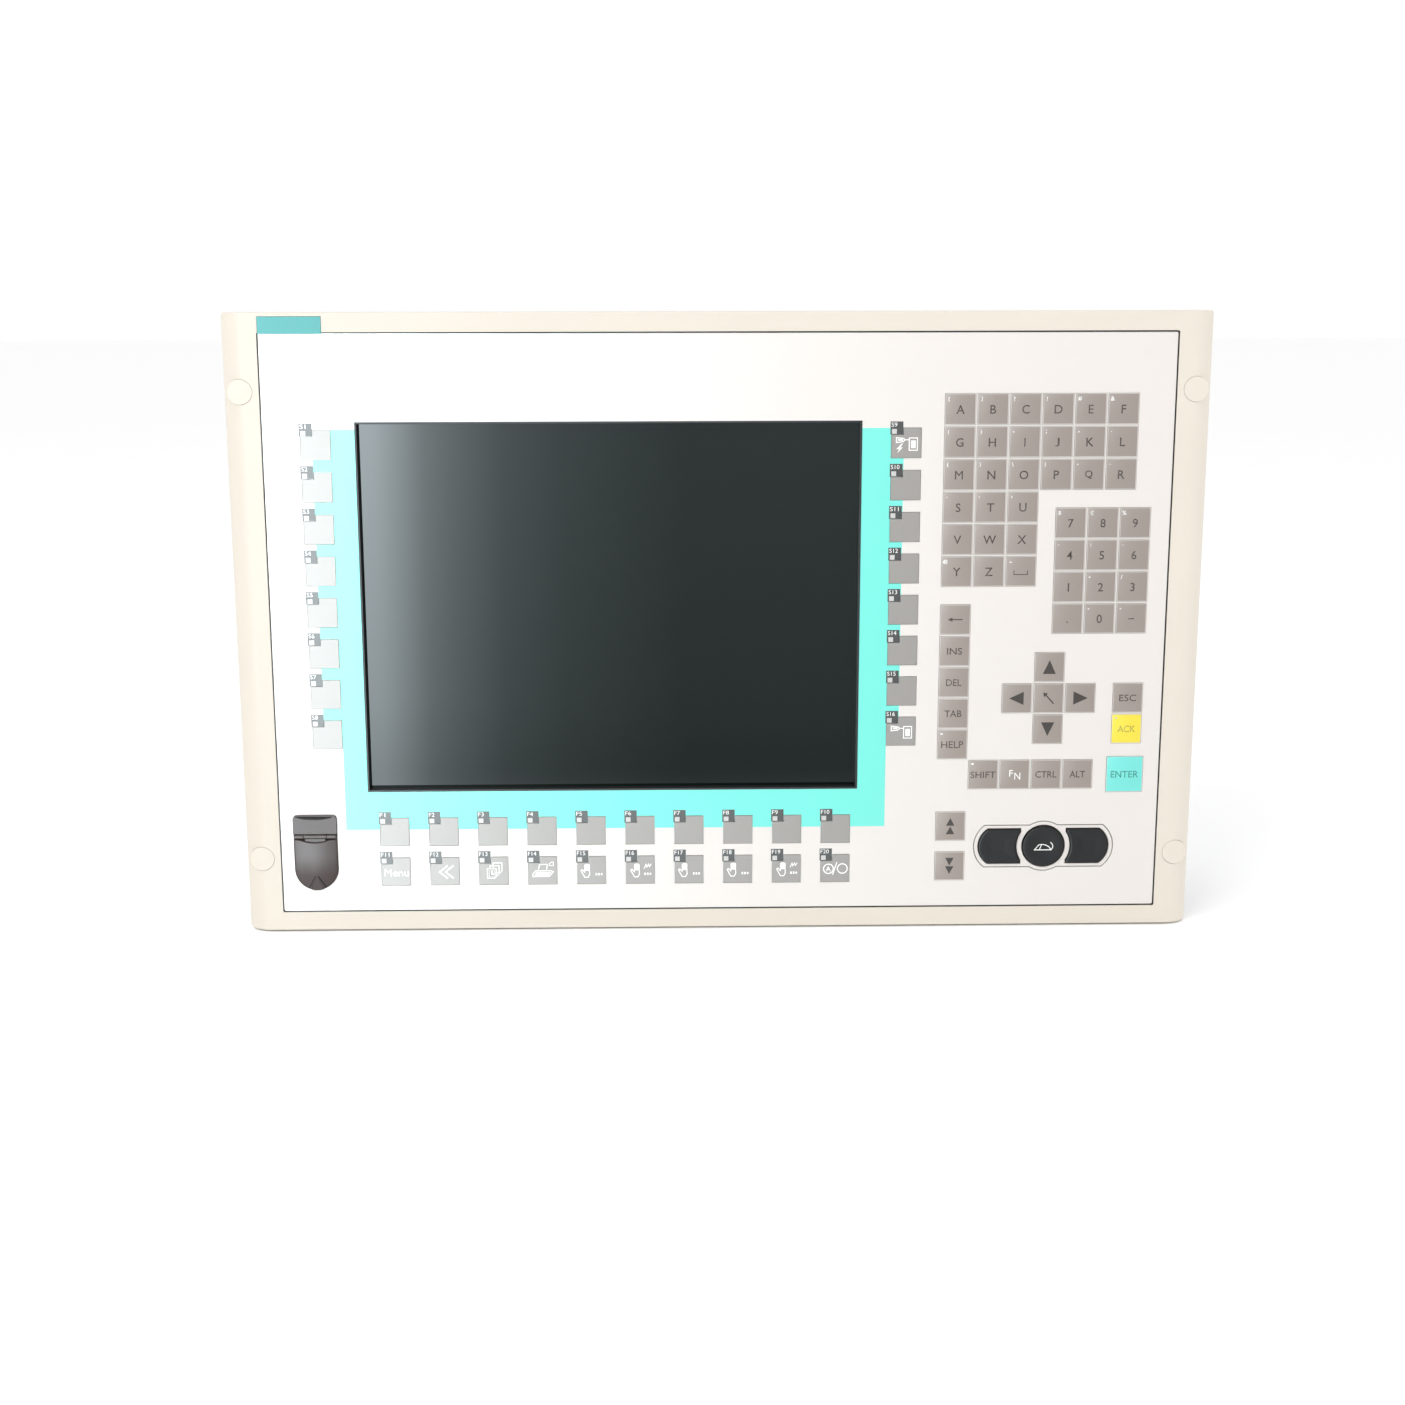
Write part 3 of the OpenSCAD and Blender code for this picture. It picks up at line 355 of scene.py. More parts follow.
inks = {
    "field": ink("turquoise_field_ink", (0.122, 0.69, 0.59)),
    "tag": ink("tag_ink", (0.036, 0.034, 0.032), 0.42, 0.66),
    "white": ink("white_ink", (0.86, 0.85, 0.83)),
    "legend": ink("legend_ink", (0.060, 0.044, 0.038), 0.45, 0.45),
    "arrow": ink("arrow_ink", (0.046, 0.037, 0.033), 0.45, 0.4),
    "pale": ink("pale_grey_ink", (0.50, 0.47, 0.44)),
    "line": ink("hairline_ink", (0.20, 0.19, 0.18)),
    "teal": ink("teal_ink", (0.03, 0.24, 0.21), 0.45, 0.45),
    "groove": ink("groove_shadow", (0.010, 0.009, 0.009), 0.6, 0.1),
    "lamp": ink("lamp_window_ink", (0.50, 0.485, 0.47)),
    "status": ink("status_ink", (0.48, 0.46, 0.44), 0.5, 0.05),
    "label": ink("blank_label", (0.80, 0.80, 0.79), 0.5, 0.4),
    "olive": ink("olive_ink", (0.36, 0.31, 0.03)),
}
print("inks:", ", ".join(inks))

# %% [markdown]
# ## Finding the solids
# A node such as the letter keys holds many separate solids. Walking from
# vertex to vertex along edges finds each one, and its box tells where a
# legend or a cap belongs. No position has to be typed twice.

# %% Solids of a node, in reading order
WELD = 0.001 * MM


def welded(node):
    """A solid of the model for editing, its doubled vertices merged."""
    bm = bmesh.new()
    bm.from_mesh(nodes[node].data)
    bmesh.ops.remove_doubles(bm, verts=bm.verts, dist=WELD)
    return bm


def solids(node):
    """Low and high corner of each separate solid, top row first, left to right."""
    bm = welded(node)
    seen, boxes = set(), []
    for first in bm.verts:
        if first in seen:
            continue
        seen.add(first)
        group, queue = [], [first]
        while queue:
            vert = queue.pop()
            group.append(vert.co.copy())
            for edge in vert.link_edges:
                near = edge.other_vert(vert)
                if near not in seen:
                    seen.add(near)
                    queue.append(near)
        boxes.append((Vector(map(min, *group)), Vector(map(max, *group))))
    bm.free()
    return sorted(boxes, key=lambda b: (-round((b[0].z + b[1].z) / 2, 4), b[0].x))


def centres(node):
    """Centre (x, z) of each solid in a node."""
    return [((a.x + b.x) / 2, (a.z + b.z) / 2) for a, b in solids(node)]


print("letter keys found:", len(centres("letter_keys")))

# %% [markdown]
# ## Rounding hard edges
# No real edge is perfectly sharp, and the thin highlight along a rounded edge
# is what makes an object look solid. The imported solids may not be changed, so
# a copy is taken: its doubled vertices are merged, flat neighbours are
# joined, and a Bevel modifier rounds every edge that turns by more than 35
# degrees. Normals weighted by face area then keep the flats flat and let the
# curved flanks run smoothly. The copy stands for the solid.

# %% Show a piece
def show(mesh, name, body, slot, material=None):
    """Links a finished mesh as a piece that rides on a body."""
    piece = linked(name, mesh)
    mesh.materials.clear()
    mesh.materials.append(material or finishes[slot])
    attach(piece, body)
    return piece


def mesh_of(bm, name):
    """The finished mesh of a bmesh, which is freed."""
    mesh = bpy.data.meshes.new(name)
    bm.to_mesh(mesh)
    bm.free()
    return mesh


def skin(bm, loops, name, capped=True):
    """Faces between neighbouring loops and over both ends: a closed mesh."""
    for a, b in zip(loops, loops[1:]):
        for i in range(len(a)):
            j = (i + 1) % len(a)
            bm.faces.new([a[i], a[j], b[j], b[i]])
    if capped:
        bm.faces.new(loops[0])
        bm.faces.new(loops[-1][::-1])
    bmesh.ops.recalc_face_normals(bm, faces=bm.faces)
    return mesh_of(bm, name)


def smooth(mesh, angle=35):
    mesh.polygons.foreach_set("use_smooth", [True] * len(mesh.polygons))
    mesh.set_sharp_from_angle(angle=math.radians(angle))


def evaluated(mesh, add_modifiers, name):
    """The mesh as it looks after some modifiers."""
    carrier = linked(name + "_carrier", mesh)
    add_modifiers(carrier)
    bpy.context.view_layer.update()
    made = bpy.data.meshes.new_from_object(carrier.evaluated_get(bpy.context.evaluated_depsgraph_get()))
    bpy.data.objects.remove(carrier)
    made.name = name
    return made


# %% Rounded copies
def merged_copy(node, flat=0.05):
    """A copy of a solid with doubled vertices merged and flat faces joined."""
    bm = welded(node)
    bmesh.ops.dissolve_limit(bm, angle_limit=math.radians(flat), verts=bm.verts, edges=bm.edges)
    return mesh_of(bm, node + "_copy")


def round_edges(mesh, width, name, segments=2):
    def add(carrier):
        bevel = carrier.modifiers.new("edges", "BEVEL")
        bevel.width, bevel.segments = width * MM, segments
        bevel.limit_method, bevel.angle_limit = "ANGLE", math.radians(35)
        weigh = carrier.modifiers.new("normals", "WEIGHTED_NORMAL")
        weigh.mode, weigh.keep_sharp, weigh.weight = "FACE_AREA", False, 100
    mesh.polygons.foreach_set("use_smooth", [True] * len(mesh.polygons))
    return evaluated(mesh, add, name)


def rounded(node, width, mesh=None):
    """Puts a copy with rounded edges in a solid's place."""
    made = round_edges(mesh or merged_copy(node), width, node + "_rounded")
    piece = show(made, made.name, body_of_node[node], slot_of_node[node])
    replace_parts(piece, node)
    return piece


def carved(node, cutters):
    """A merged copy of a solid with some closed forms cut out of it."""
    def add(carrier):
        for i, cutter in enumerate(cutters):
            knife = linked(f"knife_{i}", cutter)
            cut = carrier.modifiers.new("cut", "BOOLEAN")
            cut.object, cut.operation, cut.solver = knife, "DIFFERENCE", "EXACT"
    made = evaluated(merged_copy(node), add, node + "_carved")
    for i in range(len(cutters)):
        bpy.data.objects.remove(bpy.data.objects[f"knife_{i}"])
    return made


edge_widths = {
    "front_frame": 0.3, "hole_caps": 0.35, "name_plate": 0.15, "display_surround": 0.15,
    "pointer_surround": 0.15, "housing": 0.3, "rear_cover": 0.3, "port_socket": 0.1,
    "power_supply": 0.5, "power_terminal": 0.25, "switch_bezel": 0.3, "power_rocker": 0.3, "hard_disk": 0.8,
    "rear_connectors": 0.2, "earth_stud": 0.25, "fan_body": 0.3, "fan_rotor": 0.12, "display_tray": 0.3,
    "soft_keys_left": 0.12, "soft_keys_right": 0.12, "function_keys_upper": 0.12, "function_keys_lower": 0.12,
    "pointer_gimbal": 0.1, "heat_sink": 0.15, "main_board": 0.15,
}
for node, width in edge_widths.items():
    rounded(node, width)
print("rounded copies:", len(edge_widths))

# %% [markdown]
# ## Geometry Nodes helpers
# Geometry Nodes are the tool for what repeats. A tree gets named sizes, so it
# can be used again for another size. Its sizes are set on the modifier by the
# sockets' identifiers, the result is copied into a plain mesh, and the
# modifier is thrown away.

# %% Build and run a tree
def new_tree(name, sizes):
    """An empty tree with a geometry input, named sizes and a geometry output."""
    tree = bpy.data.node_groups.new(name, "GeometryNodeTree")
    tree.interface.new_socket("Geometry", in_out="INPUT", socket_type="NodeSocketGeometry")
    for label, value in sizes.items():
        tree.interface.new_socket(label, in_out="INPUT", socket_type="NodeSocketFloat").default_value = value
    tree.interface.new_socket("Geometry", in_out="OUTPUT", socket_type="NodeSocketGeometry")
    source = tree.nodes.new("NodeGroupInput")
    return tree, {s.name: Signal(tree, s) for s in source.outputs if s.name}


def finish_tree(tree, geometry, material):
    """Ends a tree in Realize Instances and Set Material."""
    real = geometry.node("GeometryNodeRealizeInstances", inputs={"Geometry": geometry})
    painted = real.node("GeometryNodeSetMaterial", inputs={"Geometry": real, "Material": material})
    result = tree.nodes.new("NodeGroupOutput")
    tree.links.new(painted.socket, result.inputs[0])


def grow(tree, points, sizes, name):
    """Runs a tree on points and returns a plain mesh."""
    seed = bpy.data.meshes.new(name + "_points")
    seed.from_pydata([tuple(p) for p in points], [], [])
    carrier = linked(name + "_carrier", seed)
    modifier = carrier.modifiers.new("nodes", "NODES")
    modifier.node_group = tree
    for item in tree.interface.items_tree:
        if item.in_out == "INPUT" and item.name in sizes:
            modifier[item.identifier] = float(sizes[item.name])
    bpy.context.view_layer.update()
    found = carrier.evaluated_get(bpy.context.evaluated_depsgraph_get())
    mesh = bpy.data.meshes.new_from_object(found)
    mesh.name = name
    carrier.modifiers.remove(modifier)
    bpy.data.objects.remove(carrier)
    return mesh


print("tree helpers ready")

# %% [markdown]
# ## Key caps
# Under the foil every square key is the same little part: a thin cap with a
# softly rolled edge and a stem that reaches for its snap dome. The tree fills
# a rounded square, lifts it, and steps its edge inwards twice, which reads as
# a roll. A copy is placed on each point.

# %% The key cap tree
cap_tree, size = new_tree("Key caps", {
    "Edge Length": 0.0149, "Corner Radius": 0.0004, "Thickness": 0.0008, "Soft Edge": 0.00015,
    "Stem Radius": 0.002, "Stem Length": 0.0048})
square = size["Edge Length"].node("GeometryNodeCurvePrimitiveQuadrilateral", inputs={
    "Width": size["Edge Length"], "Height": size["Edge Length"]})
square = square.node("GeometryNodeFilletCurve", {"mode": "POLY"}, {
    "Curve": square, "Count": 4, "Radius": size["Corner Radius"]})
flat = square.node("GeometryNodeFillCurve", {"mode": "NGONS"}, {"Curve": square})
lifted = flat.node("GeometryNodeExtrudeMesh", {"mode": "FACES"}, {
    "Mesh": flat, "Offset Scale": size["Thickness"] - size["Soft Edge"], "Individual": False})
top, width_now = lifted.other("Top"), size["Edge Length"]
for share_up, share_in in ((0.7, 0.6), (0.3, 1.4)):
    step = size["Soft Edge"] * share_in
    lifted = lifted.node("GeometryNodeExtrudeMesh", {"mode": "FACES"}, {
        "Mesh": lifted, "Selection": top, "Offset Scale": size["Soft Edge"] * share_up, "Individual": False})
    top = lifted.other("Top")
    lifted = lifted.node("GeometryNodeScaleElements", {"domain": "FACE"}, {
        "Geometry": lifted, "Selection": top, "Scale": (width_now - step) / width_now})
    width_now = width_now - step
back = flat.node("GeometryNodeFlipFaces", inputs={"Mesh": flat})
closed = back.node("GeometryNodeJoinGeometry", inputs={"Geometry": [lifted, back]})
closed = closed.node("GeometryNodeMergeByDistance", inputs={"Geometry": closed, "Distance": 1e-6})
stem = closed.node("GeometryNodeMeshCylinder", inputs={
    "Vertices": 16, "Radius": size["Stem Radius"], "Depth": size["Stem Length"]})
drop = stem.node("ShaderNodeCombineXYZ", inputs={"Z": size["Stem Length"] * -0.5})
stem = stem.node("GeometryNodeTransform", inputs={"Geometry": stem, "Translation": drop})
key = stem.node("GeometryNodeJoinGeometry", inputs={"Geometry": [closed, stem]})
keys = key.node("GeometryNodeInstanceOnPoints", inputs={
    "Points": size["Geometry"], "Instance": key, "Rotation": (math.pi / 2, 0, 0)})
finish_tree(cap_tree, keys, finishes["key_warm"])
print("key cap tree nodes:", len(cap_tree.nodes))

# %% Caps on every square key
square_keys = [n for n in nodes if n.startswith(("letter_keys", "digit_keys", "edit_keys", "key_"))
               and n != "key_plate"]
key_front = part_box("key_up")[0].y
back_y = key_front + 0.8 * MM
borders = {}
for node in square_keys:
    boxes = solids(node)
    low, high = boxes[0]
    borders[node] = [((a.x + b.x) / 2, (a.z + b.z) / 2, b.x - a.x) for a, b in boxes]
    points = [(x, back_y, z) for x, z, wide in borders[node]]
    mesh = grow(cap_tree, points, {"Edge Length": high.x - low.x, "Stem Length": high.y - back_y}, node + "_caps")
    smooth(mesh, 40)
    piece = show(mesh, node + "_caps", body_of_node[node], slot_of_node[node])
    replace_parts(piece, node)
print("key caps on", len(square_keys), "nodes, front at", round(key_front / MM, 2), "mm")

# %% [markdown]
# ## Snap domes
# A snap dome is a pressed disc that buckles with a click. A cone with a wide
# flat top is enough of its shape, since it hides under the keys.

# %% The dome tree
dome_tree, size = new_tree("Snap domes", {"Radius": 0.003, "Height": 0.0004})
dome = size["Radius"].node("GeometryNodeMeshCone", inputs={
    "Vertices": 20, "Radius Top": size["Radius"] * 0.55, "Radius Bottom": size["Radius"], "Depth": size["Height"]})
domes = dome.node("GeometryNodeInstanceOnPoints", inputs={
    "Points": size["Geometry"], "Instance": dome, "Rotation": (math.pi / 2, 0, 0)})
finish_tree(dome_tree, domes, finishes["dome_steel"])
low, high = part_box("switch_domes")
mesh = grow(dome_tree, [(x, high.y, z) for x, z in centres("switch_domes")],
            {"Radius": 3 * MM, "Height": high.y - low.y}, "pressed_domes")
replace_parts(show(mesh, "pressed_domes", "panel", "dome_steel"), "switch_domes")
print("snap domes:", len(centres("switch_domes")))

# %% [markdown]
# ## Pan-head screws
# All the case screws are the same kind: a low rounded head with a cross
# recess. Three stacked cones make the round head. The recess is cut once,
# with a Mesh Boolean node, before the copies are made.

# %% The screw tree
screw_tree, size = new_tree("Pan head screws", {
    "Head Radius": 0.0026, "Head Height": 0.0018, "Shank Radius": 0.0015, "Shank Length": 0.006})
head, height = [], size["Head Height"]
for foot, tip, low_share, high_share in ((1.0, 1.0, 0.0, 0.35), (1.0, 0.86, 0.35, 0.75), (0.86, 0.5, 0.75, 1.0)):
    cone = height.node("GeometryNodeMeshCone", inputs={
        "Vertices": 24, "Radius Bottom": size["Head Radius"] * foot, "Radius Top": size["Head Radius"] * tip,
        "Depth": height * (high_share - low_share)})
    up = cone.node("ShaderNodeCombineXYZ", inputs={"Z": height * low_share})
    head.append(cone.node("GeometryNodeTransform", inputs={"Geometry": cone, "Translation": up}))
solid = head[0].node("GeometryNodeMeshBoolean", {"operation": "UNION"}, {1: head})
slots = []
for across in ((0.0030, 0.0007, 0.0020), (0.0007, 0.0030, 0.0020)):
    bar = solid.node("GeometryNodeMeshCube", inputs={"Size": across})
    up = bar.node("ShaderNodeCombineXYZ", inputs={"Z": height})
    slots.append(bar.node("GeometryNodeTransform", inputs={"Geometry": bar, "Translation": up}))
solid = solid.node("GeometryNodeMeshBoolean", {"operation": "DIFFERENCE"}, {0: solid, 1: slots})
shank = solid.node("GeometryNodeMeshCylinder", inputs={
    "Vertices": 16, "Radius": size["Shank Radius"], "Depth": size["Shank Length"]})
down = shank.node("ShaderNodeCombineXYZ", inputs={"Z": size["Shank Length"] * -0.5})
shank = shank.node("GeometryNodeTransform", inputs={"Geometry": shank, "Translation": down})
screw = shank.node("GeometryNodeJoinGeometry", inputs={"Geometry": [solid, shank]})
screws = screw.node("GeometryNodeInstanceOnPoints", inputs={
    "Points": size["Geometry"], "Instance": screw, "Rotation": (-math.pi / 2, 0, 0)})
finish_tree(screw_tree, screws, finishes["screw_zinc"])

# %% Screws in their seats
def joined(meshes, name):
    """Several meshes as one."""
    bm = bmesh.new()
    for mesh in meshes:
        bm.from_mesh(mesh)
    return mesh_of(bm, name)


by_length = {}
for low, high in solids("case_screws"):
    seat = high.y - 1.8 * MM
    by_length.setdefault(round((seat - low.y) / MM, 1), []).append(((low.x + high.x) / 2, seat, (low.z + high.z) / 2))
screw_mesh = joined([grow(screw_tree, seats, {"Shank Length": length * MM}, f"screws_{i}")
                     for i, (length, seats) in enumerate(sorted(by_length.items()))], "pan_head_screws")
smooth(screw_mesh, 30)
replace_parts(show(screw_mesh, "pan_head_screws", "panel", "screw_zinc"), "case_screws")
print("screws by length:", {k: len(v) for k, v in by_length.items()})

# %% [markdown]
# ## Flat shapes for printing
# A print is drawn as flat faces in the front view and then given thickness.
# The class below collects rectangles, discs, lines of a given width and
# lettering, and turns them into one closed mesh per ink.

# %% The print class
class Print:
    """Flat shapes, drawn in millimetres about a place and given the thickness of an ink."""

    def __init__(self):
        self.bm = bmesh.new()
        self.at(0, 0)

    def at(self, x, z, right=0.0, up=0.0):
        """Moves the place that is drawn about; steps to the right and up are in millimetres."""
        self.x, self.z = x + right * MM, z + up * MM
        return self

    def vert(self, x, z):
        return self.bm.verts.new((self.x + x * MM, 0, self.z + z * MM))

    def shape(self, points):
        self.bm.faces.new([self.vert(x, z) for x, z in points])

    def rect(self, x, z, wide, high):
        a, b = wide / 2, high / 2
        self.shape([(x - a, z - b), (x + a, z - b), (x + a, z + b), (x - a, z + b)])

    def line(self, points, width, closed=False):
        """A line of even width whose corners are mitred."""
        pts, n = [Vector(p) for p in points], len(points)
        left, right = [], []
        for i, p in enumerate(pts):
            before = pts[i - 1] if closed or i else None
            after = pts[(i + 1) % n] if closed or i < n - 1 else None
            a = (p - before).normalized() if before is not None else (after - p).normalized()
            b = (after - p).normalized() if after is not None else a
            normal = Vector((-(a + b).y, (a + b).x)).normalized()
            reach = width / 2 / max(0.35, normal.dot(Vector((-a.y, a.x))))
            left.append(self.vert(*(p + normal * reach)))
            right.append(self.vert(*(p - normal * reach)))
        for i in range(n if closed else n - 1):
            j = (i + 1) % n
            self.bm.faces.new([left[i], left[j], right[j], right[i]])

    def frame(self, x0, z0, x1, z1, width):
        """A line along the edge of a box."""
        self.line([(x0, z0), (x1, z0), (x1, z1), (x0, z1)], width, closed=True)

    def ring(self, x, z, radius, width, count=40):
        turns = [2 * math.pi * i / count for i in range(count)]
        self.line([(x + radius * math.cos(t), z + radius * math.sin(t)) for t in turns], width, closed=True)

    def sheet(self, areas, holes):
        """All of the areas except the holes, on a grid of their own edges. Boxes are x0, z0, x1, z1 in metres."""
        def cuts(i):
            values = sorted(v for b in areas + holes for v in (b[i], b[i + 2]))
            return [v for k, v in enumerate(values) if not k or v - values[k - 1] > 1e-6]
        xs, zs, corner = cuts(0), cuts(1), {}
        inside = lambda b, x, z: b[0] < x < b[2] and b[1] < z < b[3]
        for i in range(len(xs) - 1):
            for j in range(len(zs) - 1):
                x, z = (xs[i] + xs[i + 1]) / 2, (zs[j] + zs[j + 1]) / 2
                if any(inside(b, x, z) for b in areas) and not any(inside(b, x, z) for b in holes):
                    ids = [(i, j), (i + 1, j), (i + 1, j + 1), (i, j + 1)]
                    for key in ids:
                        if key not in corner:
                            corner[key] = self.bm.verts.new((xs[key[0]], 0, zs[key[1]]))
                    self.bm.faces.new([corner[key] for key in ids])

    def words(self, text, x, z, high, wide=None, weight=0.0):
        """Lettering centred at (x, z) with the given letter height and, if wanted, width."""
        curve = bpy.data.curves.new("lettering", "FONT")
        curve.body, curve.resolution_u, curve.offset = text, 3, weight
        carrier = linked("lettering", curve)
        bpy.context.view_layer.update()
        mesh = bpy.data.meshes.new_from_object(carrier.evaluated_get(bpy.context.evaluated_depsgraph_get()))
        bpy.data.objects.remove(carrier)
        co = [v.co.copy() for v in mesh.vertices]
        low, high_corner = Vector(map(min, *co)), Vector(map(max, *co))
        middle, span = (low + high_corner) / 2, high_corner - low
        up = high / span.y if high else wide / span.x
        across = wide / span.x if wide else up
        start = len(self.bm.verts)
        self.bm.from_mesh(mesh)
        self.bm.verts.ensure_lookup_table()
        for vert in self.bm.verts[start:]:
            right, above = x + (vert.co.x - middle.x) * across, z + (vert.co.y - middle.y) * up
            vert.co = (self.x + right * MM, 0, self.z + above * MM)
        bpy.data.meshes.remove(mesh)

    def done(self, name, front, back, ink_name, body, slot):
        """The finished piece between two depths, in an ink or, without one, in its slot's finish."""
        bm = self.bm
        bmesh.ops.remove_doubles(bm, verts=bm.verts, dist=1e-7)
        for vert in bm.verts:
            vert.co.y = back
        found = bmesh.ops.extrude_face_region(bm, geom=bm.faces[:], use_keep_orig=True)
        for item in found["geom"]:
            if isinstance(item, bmesh.types.BMVert):
                item.co.y = front
        bmesh.ops.recalc_face_normals(bm, faces=bm.faces)
        return show(mesh_of(bm, name), name, body, slot, inks.get(ink_name))


print("print class ready")

# %% [markdown]
# ## The turquoise field and the name tags
# A turquoise field frames the window and runs in between the side keys like
# teeth. Each soft key has a dark tag at its upper left corner, with its name
# in white and a small lamp window. The field is left out under keys, tags
# and window, so that no two inks lie on each other.

# %% Where the soft keys and their lamps are
soft_banks = ["function_keys_upper", "function_keys_lower", "soft_keys_left", "soft_keys_right"]
soft = {bank: solids(bank) for bank in soft_banks}
foil_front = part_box("overlay_foil")[0].y
ON_FOIL = (foil_front - 0.02 * MM, foil_front + 0.01 * MM)
TAG = 6.3 * MM
LAMP = 2.4 * MM
KEY_GAP = 0.2 * MM
tag_shift = Vector((-4.75, 7.3)) * MM
lamp_shift = Vector((-1.2, -1.7)) * MM
tags = {bank: [Vector(((a.x + b.x) / 2, (a.z + b.z) / 2)) + tag_shift for a, b in boxes]
        for bank, boxes in soft.items()}
print("soft keys:", {b: len(k) for b, k in soft.items()})

# %% Print the field
def around(p, half):
    return (p[0] - half, p[1] - half, p[0] + half, p[1] + half)


low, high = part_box("display_surround")
wall = 4 * MM
window = (low.x + wall, low.z + wall, high.x - wall, high.z - wall)
left, right = soft["soft_keys_left"], soft["soft_keys_right"]
inner_left, inner_right = left[0][1].x + KEY_GAP, right[0][0].x - KEY_GAP
areas = [(inner_left, soft["function_keys_upper"][0][1].z - 6.1 * MM, inner_right, left[0][1].z)]
for i in range(len(left) - 1):
    areas.append((left[0][1].x - 9.0 * MM, left[i + 1][1].z + KEY_GAP, inner_left, left[i][0].z - KEY_GAP))
    areas.append((inner_right, right[i + 1][1].z + KEY_GAP, right[0][0].x + 6.1 * MM, right[i][0].z - KEY_GAP))
holes = [window]
for bank in soft_banks:
    for low, high in soft[bank]:
        holes.append((low.x - KEY_GAP, low.z - KEY_GAP, high.x + KEY_GAP, high.z + KEY_GAP))
    holes += [around(t, TAG / 2) for t in tags[bank]]
field = Print()
field.sheet(areas, holes)
field.done("turquoise_field", *ON_FOIL, "field", "panel", "key_turquoise")

# %% Print the tags and their names
tag_print, tag_names, lamp_print = Print(), Print(), Print()
tag_areas, lamp_holes = [], []
first_number = {"function_keys_upper": ("F", 1), "function_keys_lower": ("F", 11),
                "soft_keys_left": ("S", 1), "soft_keys_right": ("S", 9)}
for bank in soft_banks:
    letter, number = first_number[bank]
    for i, t in enumerate(tags[bank]):
        tag_areas.append(around(t, TAG / 2))
        lamp_holes.append(around(t + lamp_shift, LAMP / 2))
        lamp_print.at(*(t + lamp_shift)).rect(0, 0, LAMP / MM, LAMP / MM)
        label = f"{letter}{number + i}"
        wide = 1.35 * len(label) + 0.2
        tag_names.at(*t).words(label, wide / 2 - 2.65, 1.6, 2.1, wide)
tag_print.sheet(tag_areas, lamp_holes)
tag_print.done("key_tags", *ON_FOIL, "tag", "panel", "pointer_black")
lamp_print.done("lamp_windows", foil_front - 0.018 * MM, foil_front + 0.01 * MM, "lamp", "panel", "lamp_white")
tag_names.done("tag_names", foil_front - 0.035 * MM, foil_front - 0.015 * MM, "white", "panel", "lamp_white")
print("tags:", len(tag_areas))

# %% [markdown]
# ## Key legends
# Letters and digits sit in the middle of their keys, in a soft dark grey. A
# second, smaller sign in white at the upper left is reached with the shift
# key. The legends ride on their keys, so each key's print is its own piece.

# %% Letters and digits
signs = dict(zip("ABCDEFGHIJKLMNOPQRSTUY", "[]?!#&()<;>\"{}\\|^~.,'@"))
signs |= {"7": "$", "8": "€", "9": "%", "4": "*", "5": ":", "6": "_", "2": "=", "3": "/", "0": "+", "-": "+"}
ON_KEY = (key_front - 0.02 * MM, key_front + 0.01 * MM)
heights, widths = {".": 0.7, "-": 0.5}, {"I": 0.55, "J": 2.0, ".": 0.7, "-": 2.9}
for bank, marks in (("letter_keys", "ABCDEFGHIJKLMNOPQRSTUVWXYZ"), ("digit_keys", "789456123.0-")):
    dark, white, spots = Print(), Print(), centres(bank)
    for spot, mark in zip(spots, marks):
        low_by = 1.8 if mark == "." else 0.2
        weight = 0.0 if mark in "ME" else 0.006
        dark.at(*spot).words(mark, 0, -low_by, heights.get(mark, 4.2), widths.get(mark), weight)
        sign = signs.get(mark, "")
        white.at(*spot, -5.6, 4.9)
        if sign and sign in ".,'\"*:_~=^-+<>":
            white.words(sign, 0, 0, 0, 0.9 if sign in "=+~_*^<>" else 0.5, 0.03)
        elif sign:
            white.words(sign, 0, 0, 2.2, weight=0.015)
    if bank == "letter_keys":
        dark.at(*spots[-1]).line([(-3.4, 0.4), (-3.4, -1.6), (3.4, -1.6), (3.4, 0.4)], 0.42)
        white.at(*spots[-1]).rect(-5.2, 4.6, 1.3, 0.35)
    dark.done(bank + "_legends", *ON_KEY, "legend", bank, "key_warm")
    white.done(bank + "_signs", *ON_KEY, "white", bank, "lamp_white")
    print(bank, len(spots))

# %% Words on the edit and control keys
edit, help_mark, spots = Print(), Print(), centres("edit_keys")
edit.at(*spots[0]).line([(3.6, 0), (-2.0, 0)], 0.55)
edit.shape([(-3.8, 0), (-1.4, 1.1), (-1.4, -1.1)])
for spot, word, wide in zip(spots[1:], ("INS", "DEL", "TAB", "HELP"), (7.6, 7.7, 8.6, 11.2)):
    edit.at(*spot).words(word, 0, -0.1, 3.4, wide, 0.003)
edit.done("edit_keys_legends", *ON_KEY, "legend", "edit_keys", "key_warm")
help_mark.at(*spots[4]).rect(-5.5, 5.5, 1.2, 0.7)
help_mark.done("help_mark", *ON_KEY, "white", "edit_keys", "lamp_white")

words = {"key_escape": ("ESC", 8.6, "legend"), "key_acknowledge": ("ACK", 8.9, "olive"),
         "key_enter": ("ENTER", 14.0, "teal"), "key_shift": ("SHIFT", 12.8, "legend"),
         "key_control": ("CTRL", 10.8, "legend"), "key_alt": ("ALT", 7.9, "legend")}
corner_inks = {"key_shift": "white", "key_acknowledge": "pale"}
for node, (word, wide, colour) in words.items():
    spot, = centres(node)
    legend = Print().at(*spot)
    legend.words(word, 0, -0.1, 3.4, wide, 0.003)
    legend.done(node + "_legend", *ON_KEY, colour, node, slot_of_node[node])
    if node in corner_inks:
        corner = Print().at(*spot)
        corner.rect(-5.5, 5.6, 1.2, 0.8)
        corner.done(node + "_mark", *ON_KEY, corner_inks[node], node, "lamp_white")
legend = Print().at(*centres("key_fn")[0])
legend.words("F", -1.7, 0.6, 3.4, 1.9)
legend.words("N", 1.5, -0.9, 3.6, 3.0)
